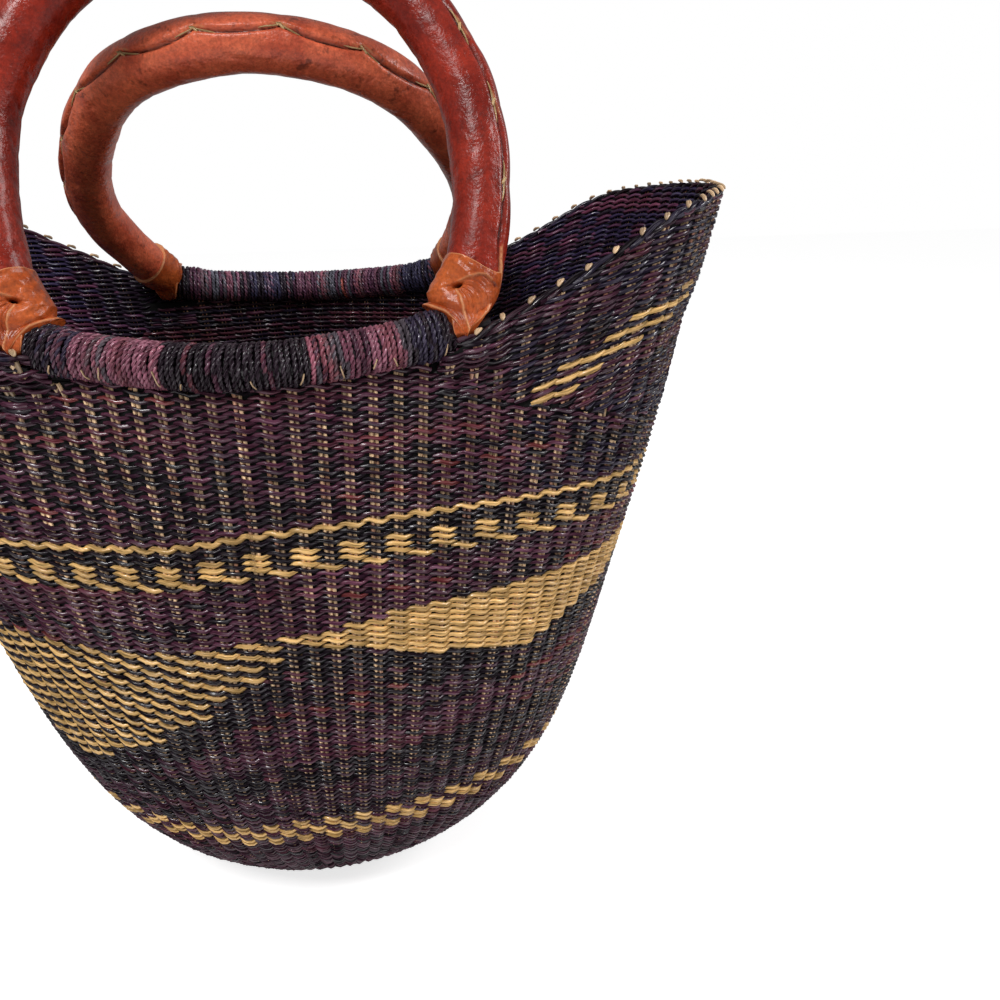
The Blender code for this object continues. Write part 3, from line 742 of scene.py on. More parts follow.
def strandPiece(name, lines, tree, sizes):
    # one piece from many strand lines, each a dictionary of arrays
    start, edges = 0, []
    for line in lines:
        index = np.arange(start, start + len(line["place"]))
        edges.append(np.stack([index[:-1], index[1:]], -1))
        if line["closed"]:
            edges.append([[index[-1], start]])
        start += len(index)
    edges = np.concatenate(edges)
    data = bpy.data.meshes.new(name + "Lines")
    data.vertices.add(start)
    data.edges.add(len(edges))
    data.vertices.foreach_set("co", np.concatenate([l["place"] for l in lines]).astype(np.float32).ravel())
    data.edges.foreach_set("vertices", edges.astype(np.int32).ravel())
    keys = {"FLOAT_VECTOR": "vector", "FLOAT_COLOR": "color", "FLOAT": "value"}
    for label, kind in strandValues.items():
        values = np.concatenate([np.asarray(l[label], float) for l in lines]).astype(np.float32)
        data.attributes.new(label, kind, "POINT").data.foreach_set(keys[kind], values.ravel())
    data.update()
    source = placed(name + "Source", data)
    step = source.modifiers.new("strands", "NODES")
    step.node_group = tree
    for item in tree.interface.items_tree:
        if item.item_type == "SOCKET" and item.in_out == "INPUT" and item.name in sizes:
            step[item.identifier] = sizes[item.name]
    mesh = bpy.data.meshes.new_from_object(source.evaluated_get(bpy.context.evaluated_depsgraph_get()))
    bpy.data.objects.remove(source, do_unlink=True)
    bpy.data.meshes.remove(data)
    for label in strandValues:
        if label not in ("run", "tint") and label in mesh.attributes:
            mesh.attributes.remove(mesh.attributes[label])
    mesh.name = name
    print(name, "triangles", sum(len(face.vertices) - 2 for face in mesh.polygons))
    return placed(name, mesh)


def strandLine(place, tint, fatness, **given):
    # a line of a piece, with one fatness or one for each point; by itself it doesn't sway
    place, tint = np.asarray(place, float), np.asarray(tint, float)
    count = len(place)
    if tint.ndim == 1:
        tint = np.tile(np.append(tint[:3], 1.0), (count, 1))
    line = {"place": place, "tint": tint, "fatness": np.zeros(count) + fatness, "closed": False}
    for label, kind in strandValues.items():
        if label not in line:
            line[label] = np.zeros((count, 3) if kind == "FLOAT_VECTOR" else count)
    line["run"] = lengthAlong(place)
    return line | given


def rowLines(surface, stakes, along, closed, group, row, dyesOf, sense=1, wave=1.0):
    # the two strands of one row, half a turn apart, over these stakes
    place, out, up = facing(surface, stakes, along, sense)
    place = place - out * basket["thickness"] / 2
    run = lengthAlong(place)
    spot = np.arange(len(stakes)) // 2
    rough = [weave["jitter"] * 2 * (scatter(row, spot, kind) - 0.5)[:, None] for kind in (1, 2)]
    place = place + out * rough[0] + up * rough[1]
    odd = row % 2
    made = []
    for strand in (0, 1):
        turn = stakes / group + odd + strand
        nearest = (np.floor((turn + 0.7) / 2) * 2 - odd - strand) * group
        tint = paint(dyesOf(row, nearest, strand), row, strand, nearest)
        plain = tint[:, 1] > weave["naturalGreen"]
        tint[:, :3] *= np.where(plain[:, None], 1.0, np.array(weave["dyeDepth"]))
        fatness = 1.0 + weave["uneven"] * (scatter(row, strand, spot, 3) - 0.5) + weave["naturalFatter"] * plain
        made.append(strandLine(place, tint, fatness, closed=closed, outward=out, upward=up, phase=math.pi * turn,
                               depthScale=np.ones(len(stakes)), waveScale=np.full(len(stakes), wave),
                               run=run + 0.37 * strand + 0.11 * row))
    return made


def stretches(mask):
    # first and last index of each run of true values
    edges = np.diff(np.concatenate([[0], mask.astype(int), [0]]))
    return list(zip(np.flatnonzero(edges == 1), np.flatnonzero(edges == -1)))


def bodyRows():
    # lines of all the level rows, from the roll and the wings' seam down to the base
    first = int((weave["ropeReach"] - weave["joinReaches"][3]) / weave["rowPitch"])
    last = int(round((float(reachUp[-1]) - weave["ropeReach"]) / weave["rowPitch"]))
    for row in range(first, -last - 1, -1):
        reach = weave["ropeReach"] - row * weave["rowPitch"]
        group = 2 ** sum(reach < join for join in weave["joinReaches"][:3])
        stakes = np.arange(0, weave["stakes"], group / weave["samples"])
        mask = np.interp(sagged(stakes, reach), reachUp, heightTable) < bodyTop(stakes)
        if mask.all():
            yield rowLines(bodySurface, stakes, reach, True, group, row, bodyDyes)
            continue
        turn = int(np.argmin(mask))
        stakes, mask = np.roll(stakes, -turn), np.roll(mask, -turn)
        stakes = np.where(stakes < stakes[0], stakes + weave["stakes"], stakes)
        lines = []
        for begin, end in stretches(mask):
            if end - begin > 3:
                lines += rowLines(bodySurface, stakes[begin:end], reach, False, group, row, bodyDyes)
        yield lines


def buildBody():
    batches, points = [[]], 0
    for lines in bodyRows():
        count = sum(len(line["place"]) for line in lines)
        if points + count > weave["pointsPerPiece"]:
            batches.append([])
            points = 0
        batches[-1] += lines
        points += count
    return [strandPiece("weave" + str(number), batch, strawTree, strawSizes)
            for number, batch in enumerate(batches, 1)]


def strawPair(surface, stake, alongs, kind, sense=1):
    # a stake's two straws, side by side at the middle of the wall, each dyed in places
    number = np.full(len(alongs), float(stake))
    place, out, up = facing(surface, number, alongs, sense)
    local = np.linalg.norm(surface(number + 0.5, alongs) - surface(number - 0.5, alongs), axis=-1)
    spreadRoom, radiusRoom = weave["strawRoom"]
    aside = np.cross(up, out) * np.minimum(weave["strawSpread"], local * spreadRoom)[:, None]
    middle = place - out * (basket["thickness"] / 2 - weave["strawLift"])
    tint = strawTint(stake, kind)
    spots = np.arange(len(alongs))
    lines = []
    for way in (-1, 1):
        least, spread, power = weave["strawShade"]
        shade = least + spread * scatter(stake, spots, way)[:, None] ** power
        dyed = (scatter(stake, spots // 2, way, 2) < weave["stainShare"])[:, None] * weave["stainDepth"]
        colour = opaque((tint[None] * (1 - dyed) + np.array(weave["stain"]) * dyed) * shade)
        lines.append(strandLine(middle + aside * way, colour, np.minimum(weave["strawRadius"], local * radiusRoom)))
    return lines


def strawTint(number, kind):
    return np.array(dyes["straw"]) * (0.55 + 0.75 * scatter(number, kind, 9))


def buildStakes():
    # every other stake starts further out, where there is room for it
    lines = []
    for number in range(weave["stakes"]):
        joins = sum(number % level == 0 for level in (2, 4, 8))
        start = weave["joinReaches"][joins] + (0.002 if joins else 0.0)
        alongs = np.arange(start, reachAt(float(bodyTop(number)) + 0.0008), weave["strawStep"])
        lines += strawPair(bodySurface, number, alongs, 0)
    return strandPiece("stakes", lines, strawTree, plainSizes)


def gridPiece(name, rings, material, pale=None):
    # closed tube from rings of points, with smooth faces and its ends filled
    count, sides = rings.shape[:2]
    mesh = bmesh.new()
    made = [[mesh.verts.new(tuple(p)) for p in ring] for ring in rings]
    for i in range(count - 1):
        for j in range(sides):
            k = (j + 1) % sides
            mesh.faces.new((made[i][j], made[i][k], made[i + 1][k], made[i + 1][j]))
    mesh.faces.new(tuple(reversed(made[0])))
    mesh.faces.new(tuple(made[-1]))
    bmesh.ops.recalc_face_normals(mesh, faces=mesh.faces)
    for face in mesh.faces:
        face.smooth = True
    data = bpy.data.meshes.new(name)
    mesh.to_mesh(data)
    mesh.free()
    data.materials.append(material)
    if pale is not None:
        data.attributes.new("pale", "FLOAT", "POINT").data.foreach_set("value", pale.astype(np.float32).ravel())
    return placed(name, data)


# nearly black with a faint mottle: painted shade for the dark inside of the wall
def makeShadeSheetMaterial():
    made, tree, shader = startMaterial("paintedShadeSheet")
    spot = addNode(tree, "ShaderNodeTexCoord").outputs["Object"]
    shade = evenGrey(tree, ramp(tree, noise(tree, spot, 400.0), 0.0, 1.0, 0.004, 0.016))
    feed(tree, shader, {"Base Color": shade, "Roughness": 0.9, "Specular IOR Level": 0.1})
    return made


shadeSheetMaterial = makeShadeSheetMaterial()


def shadeSheetRings(surface, stakes, low, high, steps, sense=1):
    # a thin closed dark sheet in the middle of the wall, painted shade so that no light shows between the strands:
    # for each stake a loop up its outer side and down its inner side, from one height to another
    rings = []
    for number in stakes:
        alongs = np.linspace(low(number), high(number), steps)
        place, out, _ = facing(surface, np.full(steps, float(number)), alongs, sense)
        middle = place - out * basket["thickness"] / 2
        half = out * weave["shadeSheetHalf"]
        rings.append(np.concatenate([middle + half, (middle - half)[::-1]]))
    return np.stack(rings)


def sideStakes(side):
    # whole stake numbers of one wing, from the front to the back or back to the front
    half = weave["stakes"] // 2
    numbers = np.arange(0, half + 1, 1.0) + (0 if side > 0 else half)
    return numbers[wallX(numbers) * side > wing["start"]]


def buildWing(side):
    # rows along the edge, cut off at the seam; those over the foot wraps go into two patches of their own
    numbers = sideStakes(side)
    lines = {"wing": [], "front": [], "back": []}
    fine = np.arange(numbers[0] - 0.75, numbers[-1] + 0.76, 1.0 / weave["samples"])
    x, front, overlap = np.abs(wallX(fine)), isFront(fine), wing["overlap"]
    for row in range(wing["rows"]):
        down = (row + 0.5) * weave["rowPitch"] * wing["rowShare"]
        level = rowHeight(fine, down)
        underRoll = rimTop(x) - wing["underRoll"]
        mask = (level > seamHeight(x) - overlap) & (x > wing["start"]) & (level < edgeHeight(fine) + overlap)
        mask &= (x > wing["rollEnd"]) | (level < underRoll)
        soft = (x < wing["patchEnd"]) & (level > wing["patchBottom"])
        tucked = smoothStep(-x, -wing["rollEnd"] - wing["tuck"], -wing["rollEnd"]) * (level > underRoll)
        for key, part in (("wing", mask & ~soft), ("front", mask & soft & front), ("back", mask & soft & ~front)):
            for begin, end in stretches(part):
                begin = max(begin - 1, 0) if mask[max(begin - 1, 0)] else begin
                end = min(end + 1, len(mask)) if mask[min(end, len(mask) - 1)] else end
                if end - begin > 2:
                    made = rowLines(wingSurface, fine[begin:end], down, False, 1, row, wingDyes, -1,
                                    wing["waveShare"])
                    for line in made:
                        tuck = wing["tuckDepth"] * tucked[begin:end, None]
                        line["place"] = line["place"] - line["outward"] * tuck
                        # painted light: the rows at the back are lightened
                        behind = line["place"][:, 1:2] > 0
                        line["tint"] = line["tint"] * np.where(behind, np.array(wing["inside"]), 1.0)
                    lines[key] += made
    for number in numbers:
        far, top = float(np.abs(wallX(number))), float(rowHeight(number, 0.0))
        downs = np.arange(top - float(edgeHeight(number)) + 0.0004, top - float(seamHeight(far)) + 0.002,
                          wing["strawStep"])
        if far < wing["rollEnd"]:
            downs = downs[top - downs < float(rimTop(far)) - wing["underRoll"]]
        soft = (far < wing["patchEnd"]) & (top - downs > wing["patchBottom"])
        for key, part in (("wing", ~soft), ("front" if isFront(number) else "back", soft)):
            for begin, end in stretches(part):
                if end - begin > 1:
                    lines[key] += strawPair(wingSurface, number, downs[begin:end], 1, -1)
    return lines


def asStraw(lines):
    # strands and straws share one piece: a straw's width is written for the strand radius
    for line in lines:
        if not line["depthScale"].any():
            line["fatness"] = line["fatness"] / weave["strandRadius"]
    return lines


# the border along a wing's edge: a dark two-strand cord with a plain stitch over it at each stake
border = {
    "short": 0.2,              # stakes that the cord stays inside the wing's ends
    "samples": 6,
    "lift": 0.0006,
    "fatness": 1.15,
    "outSway": 1.1,
    "upSway": 3.2,
    "dyes": (("black", 3), ("navy", 2), ("plum", 1)),
    "dyeStakes": 4,
    "stitchSize": 0.0027,
    "stitchTurn": (-14, 44),   # degrees from straight up: its middle and half of its reach
    "slant": 0.0018,
    "bow": 0.00070,
    "stitchRadius": 0.00066,
    "stitchTaper": 0.00030,
}


def borderLines(side):
    numbers = sideStakes(side)
    fine = np.arange(numbers[0] + border["short"], numbers[-1] - border["short"], 1.0 / border["samples"])
    place, out, up = facing(wingSurface, fine, rowHeight(fine, 0.0) - edgeHeight(fine), -1)
    middle = place - out * basket["thickness"] / 2 + up * border["lift"]
    lines = []
    for strand in (0, 1):
        index = pickDye(border["dyes"], scatter(np.floor(fine / border["dyeStakes"]), strand, 6))
        lines.append(strandLine(middle, paint(index, 90, strand, fine), border["fatness"],
                                outward=out * border["outSway"], upward=up * border["upSway"],
                                phase=math.pi * (fine + strand), depthScale=np.ones(len(fine)),
                                run=lengthAlong(middle) + strand))
    along = np.cross(up, out)
    leaf = np.linspace(-1, 1, 9)
    turn = np.radians(border["stitchTurn"][0] + border["stitchTurn"][1] * leaf)[:, None]
    for number in numbers[1:-1]:
        at = int(np.argmin(np.abs(fine - number)))
        size = border["stitchSize"] * (1 + 0.2 * (scatter(number, 8) - 0.5))
        ring = middle[at] + size * (np.cos(turn) * up[at] - np.sin(turn) * out[at])
        slant = border["slant"] * leaf[:, None] * side * (-1 if middle[at][1] > 0 else 1)
        for way in (-1, 1):
            bow = border["bow"] * way * np.cos(leaf * math.pi / 2)[:, None]
            lines.append(strandLine(ring + along[at] * (bow + slant), strawTint(number, 2),
                                    border["stitchRadius"] - border["stitchTaper"] * leaf ** 4))
    return lines


# the two rolls: a core wound with dyed cord in zones; X of each zone's start, in metres
roll = {
    "end": 0.0768,
    "radius": 0.0079,
    "turns": 79,
    "pointsPerTurn": 62,
    "cordRadius": 0.00107,
    "plyRadius": 0.00064,
    "plySpread": 0.00047,
    "twistsPerTurn": 11,
    "wobble": 0.035,
    # cord colours are raised by this: painted light that makes up for the shade the plies cast on each other, more of
    # it on the back roll
    "tone": {"front": (1.85, 1.85, 1.80, 1), "back": (2.6, 3.3, 3.3, 1)},
    "loose": ((0.00022, 1.37), (0.00014, 4.6)),   # how far the cord strays along the roll, and how often
    "looseOut": (0.00012, 2.71),
    "endTaper": (0.12, 0.006),
    "bits": 11,                # ends of straw that stick out of the winding
    "bitRadius": 0.00032,
    "bitRise": 0.0010,
    "bitSlant": 0.0007,
    "coreEnd": 0.0915,
    "coreRadii": (0.0076, 0.0055),   # under the winding and beyond it
    "endThick": 0.11,          # the roll swells where it goes in under the wrap
    "endRise": 0.0003,
    "thickFrom": 0.0590,
    "thickTo": 0.0680,
    "zones": {
        "front": ((-0.0700, "navy"), (-0.0595, "violet"), (-0.0260, "black"), (0.0235, "pink"),
                  (0.0260, "grey"), (0.0450, "violet"), (0.0595, "navy")),
        "back": ((-0.0700, "grey"), (-0.0460, "orange"), (-0.0430, "navy"), (-0.0120, "grey"),
                 (0.0195, "orange"), (0.0220, "grey"), (0.0550, "navy")),
    },
    "blends": {
        "navy": (("navy", 0.7), ("black", 0.3)),
        "violet": (("violet", 0.78), ("purple", 0.16), ("grey", 0.06)),
        "black": (("black", 0.80), ("plum", 0.20)),
        "pink": (("pink", 1.0),),
        "grey": (("plum", 0.4), ("grey", 0.35), ("purple", 0.25)),
        "orange": (("red", 0.5), ("purple", 0.5)),
    },
}


def rimPoint(x, side):
    return np.stack([x, side * rimDepth(x), rimTop(x)], -1)


def buildRoll(side, word):
    fine = rimPoint(np.linspace(-roll["end"], roll["end"], 2001), side)
    length, perTurn = lengthAlong(fine), roll["pointsPerTurn"]
    count = roll["turns"] * perTurn
    at = np.linspace(roll["cordRadius"], length[-1] - roll["cordRadius"], count)
    middle = spotsAt(at, length, fine)
    ahead = unit(np.gradient(middle, axis=0))
    out = unit(np.cross(ahead, (0.0, 0.0, 1.0)) * -side)
    up = np.cross(out, ahead) * -side
    up *= np.sign(up[:, 2:])
    thick = smoothStep(np.abs(middle[:, 0]), roll["thickFrom"], roll["thickTo"])
    fromEnd = np.minimum(at, length[-1] - at)
    taper, taperLength = roll["endTaper"]
    swell = (1 - taper * np.clip(1 - fromEnd / taperLength, 0, 1) ** 2) * (1 + roll["endThick"] * thick)
    middle = middle + np.array((0, 0, roll["endRise"])) * thick[:, None]
    spots = np.arange(count)
    turn = spots // perTurn
    index = np.zeros(count, int)
    for start, name in roll["zones"][word]:
        chosen = pickDye(roll["blends"][name], scatter(turn, side, 4))
        index = np.where(middle[:, 0] >= start, chosen, index)
    wobble = 1 + roll["wobble"] * (scatter(turn, side, 2) - 0.5)
    phase = 2 * math.pi * spots / perTurn
    spoke = np.cos(phase)[:, None] * out + np.sin(phase)[:, None] * up
    twist = phase * roll["twistsPerTurn"]
    lines = []
    for ply in (0, math.pi):
        size = roll["radius"] * swell * wobble + roll["plySpread"] * np.cos(twist + ply)
        size = size + roll["looseOut"][0] * np.sin(phase * roll["looseOut"][1])
        aside = roll["plySpread"] * np.sin(twist + ply)
        for far, often in roll["loose"]:
            aside = aside + far * np.sin(phase * often)
        place = middle + spoke * size[:, None] + ahead * aside[:, None]
        fat = roll["plyRadius"] * (1 + 0.3 * (scatter(spots // 4, ply, 3) - 0.5))
        colour = paint(index, 40, 0, turn * 3.0 + ply, 0.25)
        colour = colour * (0.75 + 0.5 * scatter(spots // 6, ply, 8))[:, None]
        # the roll's painted light lifts the cords' colours
        lines.append(strandLine(place, colour * np.array(roll["tone"][word]), fat))
    for bit in range(roll["bits"]):
        begin = int(count * (bit + scatter(bit, side, 7)) / roll["bits"]) // perTurn
        begin = begin * perTurn + int(perTurn * (0.86 + 0.06 * scatter(bit, 5)))
        part = slice(begin, begin + 5 + bit % 4)
        size = roll["radius"] * swell[part] + roll["bitRise"] + 0.0002 * np.cos(twist[part])
        aside = roll["bitSlant"] * np.linspace(-1, 1, len(size)) * (-1) ** bit
        place = middle[part] + spoke[part] * size[:, None] + ahead[part] * aside[:, None]
        lines.append(strandLine(place, np.array(dyes["straw"]) * 0.8, roll["bitRadius"]))
    piece = strandPiece(word + "Roll", lines, cordTree, plainSizes)
    # the core is drawn black: painted shade where it shows between the cords, thickened near the ends to fill the gap
    # over the top rows with shade
    coreAt = np.linspace(-roll["coreEnd"], roll["coreEnd"], 60)
    wound = np.abs(coreAt) < roll["end"] + 0.0015
    coreRadius = np.where(wound, *roll["coreRadii"]) + 0.0010 * (np.abs(coreAt) > 0.0610) * wound
    core = strandPiece(word + "RollCore", [strandLine(rimPoint(coreAt, side), dyes["black"], coreRadius)],
                       cordTree, plainSizes)
    return piece, core


# the handles: a padded leather tube, folded over and laced along its outer side
handles = {
    "hinge": (0.0985179, 0.2951936),
    "radius": 0.0108,
    "flapRaise": 0.0012,
    "cutDepth": 0.0015,        # of the groove beside the flap
    "cutWidth": 0.05,          # radians
    "lip": (0.0004, 0.22, 0.12),   # height, place and width of the fold that lies past the groove
    "lumps": 0.00035,
    "wrinkles": 0.00028,       # on the inside of the arch
    "creases": 0.00014,
    "stations": 340,
    "around": 96,
    "start": 0.0165,
    "gather": 0.014,           # the cover narrows towards its ends
    "thong": (0.50, 0.33, 0.15),
    "thongSteps": ((0.0075, 0.07, 0.00036), (0.0014, 0.11, 0.00062)),   # reach, slant and half width
    "stitches": 15,
    "front": {"side": -1, "seamSide": 1, "groove": 0.72, "droop": 0.05, "turnOut": 0.42,
              "halfWidth": 0.0905, "height": 0.150, "lean": math.radians(19.5),
              "shares": ((1.0, 0.36), (0.93, 0.64), (0.60, 0.905), (0.0, 1.0))},
    "back": {"side": 1, "seamSide": -1, "groove": 0.05, "droop": -0.32, "turnOut": 0.0,
             "halfWidth": 0.0950, "height": 0.170, "lean": math.radians(51.5),
             "shares": ((1.0, 0.38), (0.87, 0.66), (0.53, 0.91), (0.0, 1.0))},
}


def splineStep(before, start, end, after, count):
    t0 = 0.0
    t1 = t0 + math.sqrt((start - before).length)
    t2 = t1 + math.sqrt((end - start).length)
    t3 = t2 + math.sqrt((after - end).length)

    def mixed(first, second, low, high):
        return first * ((high - t) / (high - low)) + second * ((t - low) / (high - low))

    made = []
    for i in range(count):
        t = t1 + (t2 - t1) * i / count
        a1, a2, a3 = mixed(before, start, t0, t1), mixed(start, end, t1, t2), mixed(end, after, t2, t3)
        made.append(mixed(mixed(a1, a2, t0, t2), mixed(a2, a3, t1, t3), t1, t2))
    return made


def archFrames(word, count, start):
    # evenly spaced points of a handle's middle line, with ahead, away (from the arch's middle) and facing out
    one = handles[word]
    knots = [Vector((basket["footSpacing"], 0, 0))]
    knots += [Vector((one["halfWidth"] * across, 0, one["height"] * up)) for across, up in one["shares"]]
    knots += [Vector((-p.x, 0, p.z)) for p in reversed(knots[:-1])]
    ends = [Vector((knots[0].x, 0, -knots[1].z))] + knots + [Vector((knots[-1].x, 0, -knots[1].z))]
    fine = []
    for i in range(len(knots) - 1):
        fine += splineStep(*ends[i:i + 4], 24)
    line = np.array([tuple(p) for p in fine + [knots[-1]]])
    length = lengthAlong(line)
    at = np.linspace(start, length[-1] - start, count)
    flat = spotsAt(at, length, line)
    ahead = unit(np.gradient(flat, axis=0))
    away = np.stack([ahead[:, 2], np.zeros(count), -ahead[:, 0]], -1)
    turn = one["side"] * one["lean"]
    spin = np.array(((1, 0, 0), (0, math.cos(turn), -math.sin(turn)), (0, math.sin(turn), math.cos(turn))))
    hinge = np.array((0.0, one["side"] * handles["hinge"][0], handles["hinge"][1]))
    outside = np.tile(spin @ np.array((0.0, float(one["side"]), 0.0)), (count, 1))
    return flat @ spin.T + hinge, ahead @ spin.T, away @ spin.T, outside, at, length[-1]


def ripple(seed, *parts):
    # smooth uneven number round nought from a few sine waves
    total = 0.0
    for step, part in enumerate(parts):
        for k in range(3):
            total = total + np.sin(part * (1.0 + 0.83 * k) + seed * 1.7 + k * 2.1 + step) / (1 + k)
    return total / len(parts)


def coverShape(word, seed, along, around, total):
    # radius of the cover, with its flap and groove, how pale each spot is at the cut edges, and how dark with painted
    # shade in the groove
    one = handles[word]
    turned = around * one["seamSide"]
    stitch = np.abs(np.sin(along / total * math.pi * handles["stitches"]))
    pull = stitch ** 0.7       # the flap stands up between its stitches and is drawn down at them
    groove = one["groove"] + 0.10 * np.sin(along * 70 + seed) - one["droop"] * pull
    toEnd = np.minimum(along, total - along)
    groove = groove - one["turnOut"] * smoothStep(-toEnd, -0.036, -0.020)
    flap = smoothStep(groove - turned, 0.0, 0.10) * smoothStep(turned, groove - 1.35, groove - 0.85)
    radius = handles["radius"] + handles["flapRaise"] * flap * (0.55 + 0.45 * pull)
    cut = bell(turned - groove - 0.035, handles["cutWidth"])
    lip, lipPlace, lipWidth = handles["lip"]
    radius = radius - handles["cutDepth"] * cut + lip * bell(turned - groove - lipPlace, lipWidth)
    radius = radius + handles["lumps"] * ripple(seed, along * 90, around * 1.0 + along * 25)
    wrinkle = np.maximum(0, np.sin(along * 420 + 1.5 * np.sin(around * 3 + seed))) ** 3
    radius = radius - handles["wrinkles"] * bell(np.abs(around) - math.pi, 0.9) * wrinkle
    crease = np.maximum(0, ripple(seed + 3, along * 260 + around * 2, around * 5 - along * 120)) ** 2
    radius = radius - handles["creases"] * crease
    near = np.maximum(smoothStep(-stitch, -0.55, -0.25) * 0.7, smoothStep(-toEnd, -0.034, -0.030))
    cutWidth = 0.028 + 0.030 * bell(toEnd - 0.023, 0.0045)
    edge = bell(turned - groove + 0.06, cutWidth) * near
    # pale at the cut edges; below nought in the groove, which the leather paints dark as shade
    return radius, groove * one["seamSide"], edge - cut


def buildCover(word, seed, material):
    one = handles[word]
    middle, _, away, outside, at, total = archFrames(word, handles["stations"], handles["start"])
    theta = np.linspace(-math.pi, math.pi, handles["around"], endpoint=False)
    along, around = np.meshgrid(at, theta, indexing="ij")
    radius, _, tone = coverShape(word, seed, along, around, total)
    gather = np.clip(1 - np.minimum(along - at[0], at[-1] - along) / handles["gather"], 0, 1)
    radius = radius * (1 - 0.06 * gather ** 2)
    ring = np.cos(around)[..., None] * away[:, None, :] + np.sin(around)[..., None] * outside[:, None, :]
    cover = gridPiece(word + "Cover", middle[:, None, :] + ring * radius[..., None], material, tone)
    lines = []
    share = np.linspace(-1, 1, 17)
    for stitch in range(1, handles["stitches"]):
        middleAt = stitch / handles["stitches"] * total
        if not handles["start"] + 0.012 < middleAt < total - handles["start"] - 0.012:
            continue
        for reach, cross, width in handles["thongSteps"]:
            spot = middleAt + reach * share
            groove = coverShape(word, seed, spot, spot * 0, total)[1]
            turn = groove + one["seamSide"] * (0.03 - cross * share)
            radius = coverShape(word, seed, spot, turn, total)[0]
            radius = np.maximum(radius, handles["radius"] - 0.0002) + 0.0002 - 0.0008 * share ** 6
            base, side, face = (spotsAt(spot, at, v) for v in (middle, away, outside))
            place = base + (np.cos(turn)[:, None] * side + np.sin(turn)[:, None] * face) * radius[:, None]
            lines.append(strandLine(place, handles["thong"], width * (1 - 0.5 * share ** 4)))
    return cover, lines


leather = {
    "mottle": 55.0,
    "fine": 620.0,
    "spots": 210.0,
    "grain": 900.0,
    "creases": 260.0,
    "shine": 120.0,
    "spotColour": (0.05, 0.012, 0.008, 1),
    "cutColour": (0.78, 0.36, 0.16, 1),
    # painted shade in the handles' groove and the wraps' hole
    "shadeColour": (0.018, 0.004, 0.003, 1),
    "bump": 0.45,
    "bumpDepth": 0.0006,
}


def makeLeatherGroup():
    tree, given, out = makeGroup("leatherLook",
                                 (("Light", "Color", (0.5, 0.1, 0.05, 1)), ("Dark", "Color", (0.1, 0.02, 0.01, 1)),
                                  ("Spots", "Float", 0.3)),
                                 (("Color", "Color"), ("Relief", "Float"), ("Roughness", "Float")))
    spot = addNode(tree, "ShaderNodeTexCoord").outputs["Object"]

    def uneven(key, detail, rough, *limits):
        return ramp(tree, noise(tree, spot, leather[key], detail, rough), *limits)

    colour = mixColour(tree, "MIX", uneven("mottle", 5.0, 0.65, 0.36, 0.62), given["Light"], given["Dark"])
    fine = evenGrey(tree, uneven("fine", 3.0, 0.7, 0.30, 0.70, 0.72, 1.30))
    colour = mixColour(tree, "MULTIPLY", 1.0, colour, fine)
    strong = maths(tree, "MULTIPLY", uneven("spots", 3.0, 0.6, 0.60, 0.70), given["Spots"])
    grain = addNode(tree, "ShaderNodeTexVoronoi", {"Vector": spot, "Scale": leather["grain"]})
    relief = maths(tree, "ADD", ramp(tree, grain.outputs["Distance"], 0.0, 0.7, 0.0, 0.3),
                   uneven("creases", 4.0, 0.6, 0.3, 0.7))
    feed(tree, out, {"Color": mixColour(tree, "MIX", strong, colour, leather["spotColour"]), "Relief": relief,
                     "Roughness": uneven("shine", 3.0, 0.6, 0.3, 0.7, 0.20, 0.45)})
    return tree


leatherGroup = makeLeatherGroup()


def makeLeather(name, light, dark, spots, coat):
    made, tree, shader = startMaterial(name)
    look = addNode(tree, "ShaderNodeGroup", {"Light": (*light, 1), "Dark": (*dark, 1), "Spots": spots},
                   node_tree=leatherGroup)
    # the pale attribute above nought mixes in the cut edge's colour, below nought it mixes in painted shade for
    # grooves and holes
    cut = attribute(tree, "pale", "Fac")
    shadeAmount = addNode(tree, "ShaderNodeMath", {0: cut, 1: -1.0}, operation="MULTIPLY", use_clamp=True).outputs[0]
    colour = mixColour(tree, "MIX", cut, look.outputs["Color"], leather["cutColour"])
    dressShader(tree, shader, look, leather["bump"], leather["bumpDepth"])
    feed(tree, shader, {"Base Color": mixColour(tree, "MIX", shadeAmount, colour, leather["shadeColour"]),
                        "Specular IOR Level": 0.30, "Coat Weight": coat, "Coat Roughness": 0.16})
    return made


frontLeather = makeLeather("frontLeather", (0.335, 0.025, 0.010), (0.175, 0.010, 0.004), 0.35, 0.18)
backLeather = makeLeather("backLeather", (0.82, 0.175, 0.080), (0.50, 0.080, 0.038), 0.60, 0.14)
tanLeather = makeLeather("tanLeather", (0.565, 0.117, 0.026), (0.31, 0.046, 0.009), 0.15, 0.16)


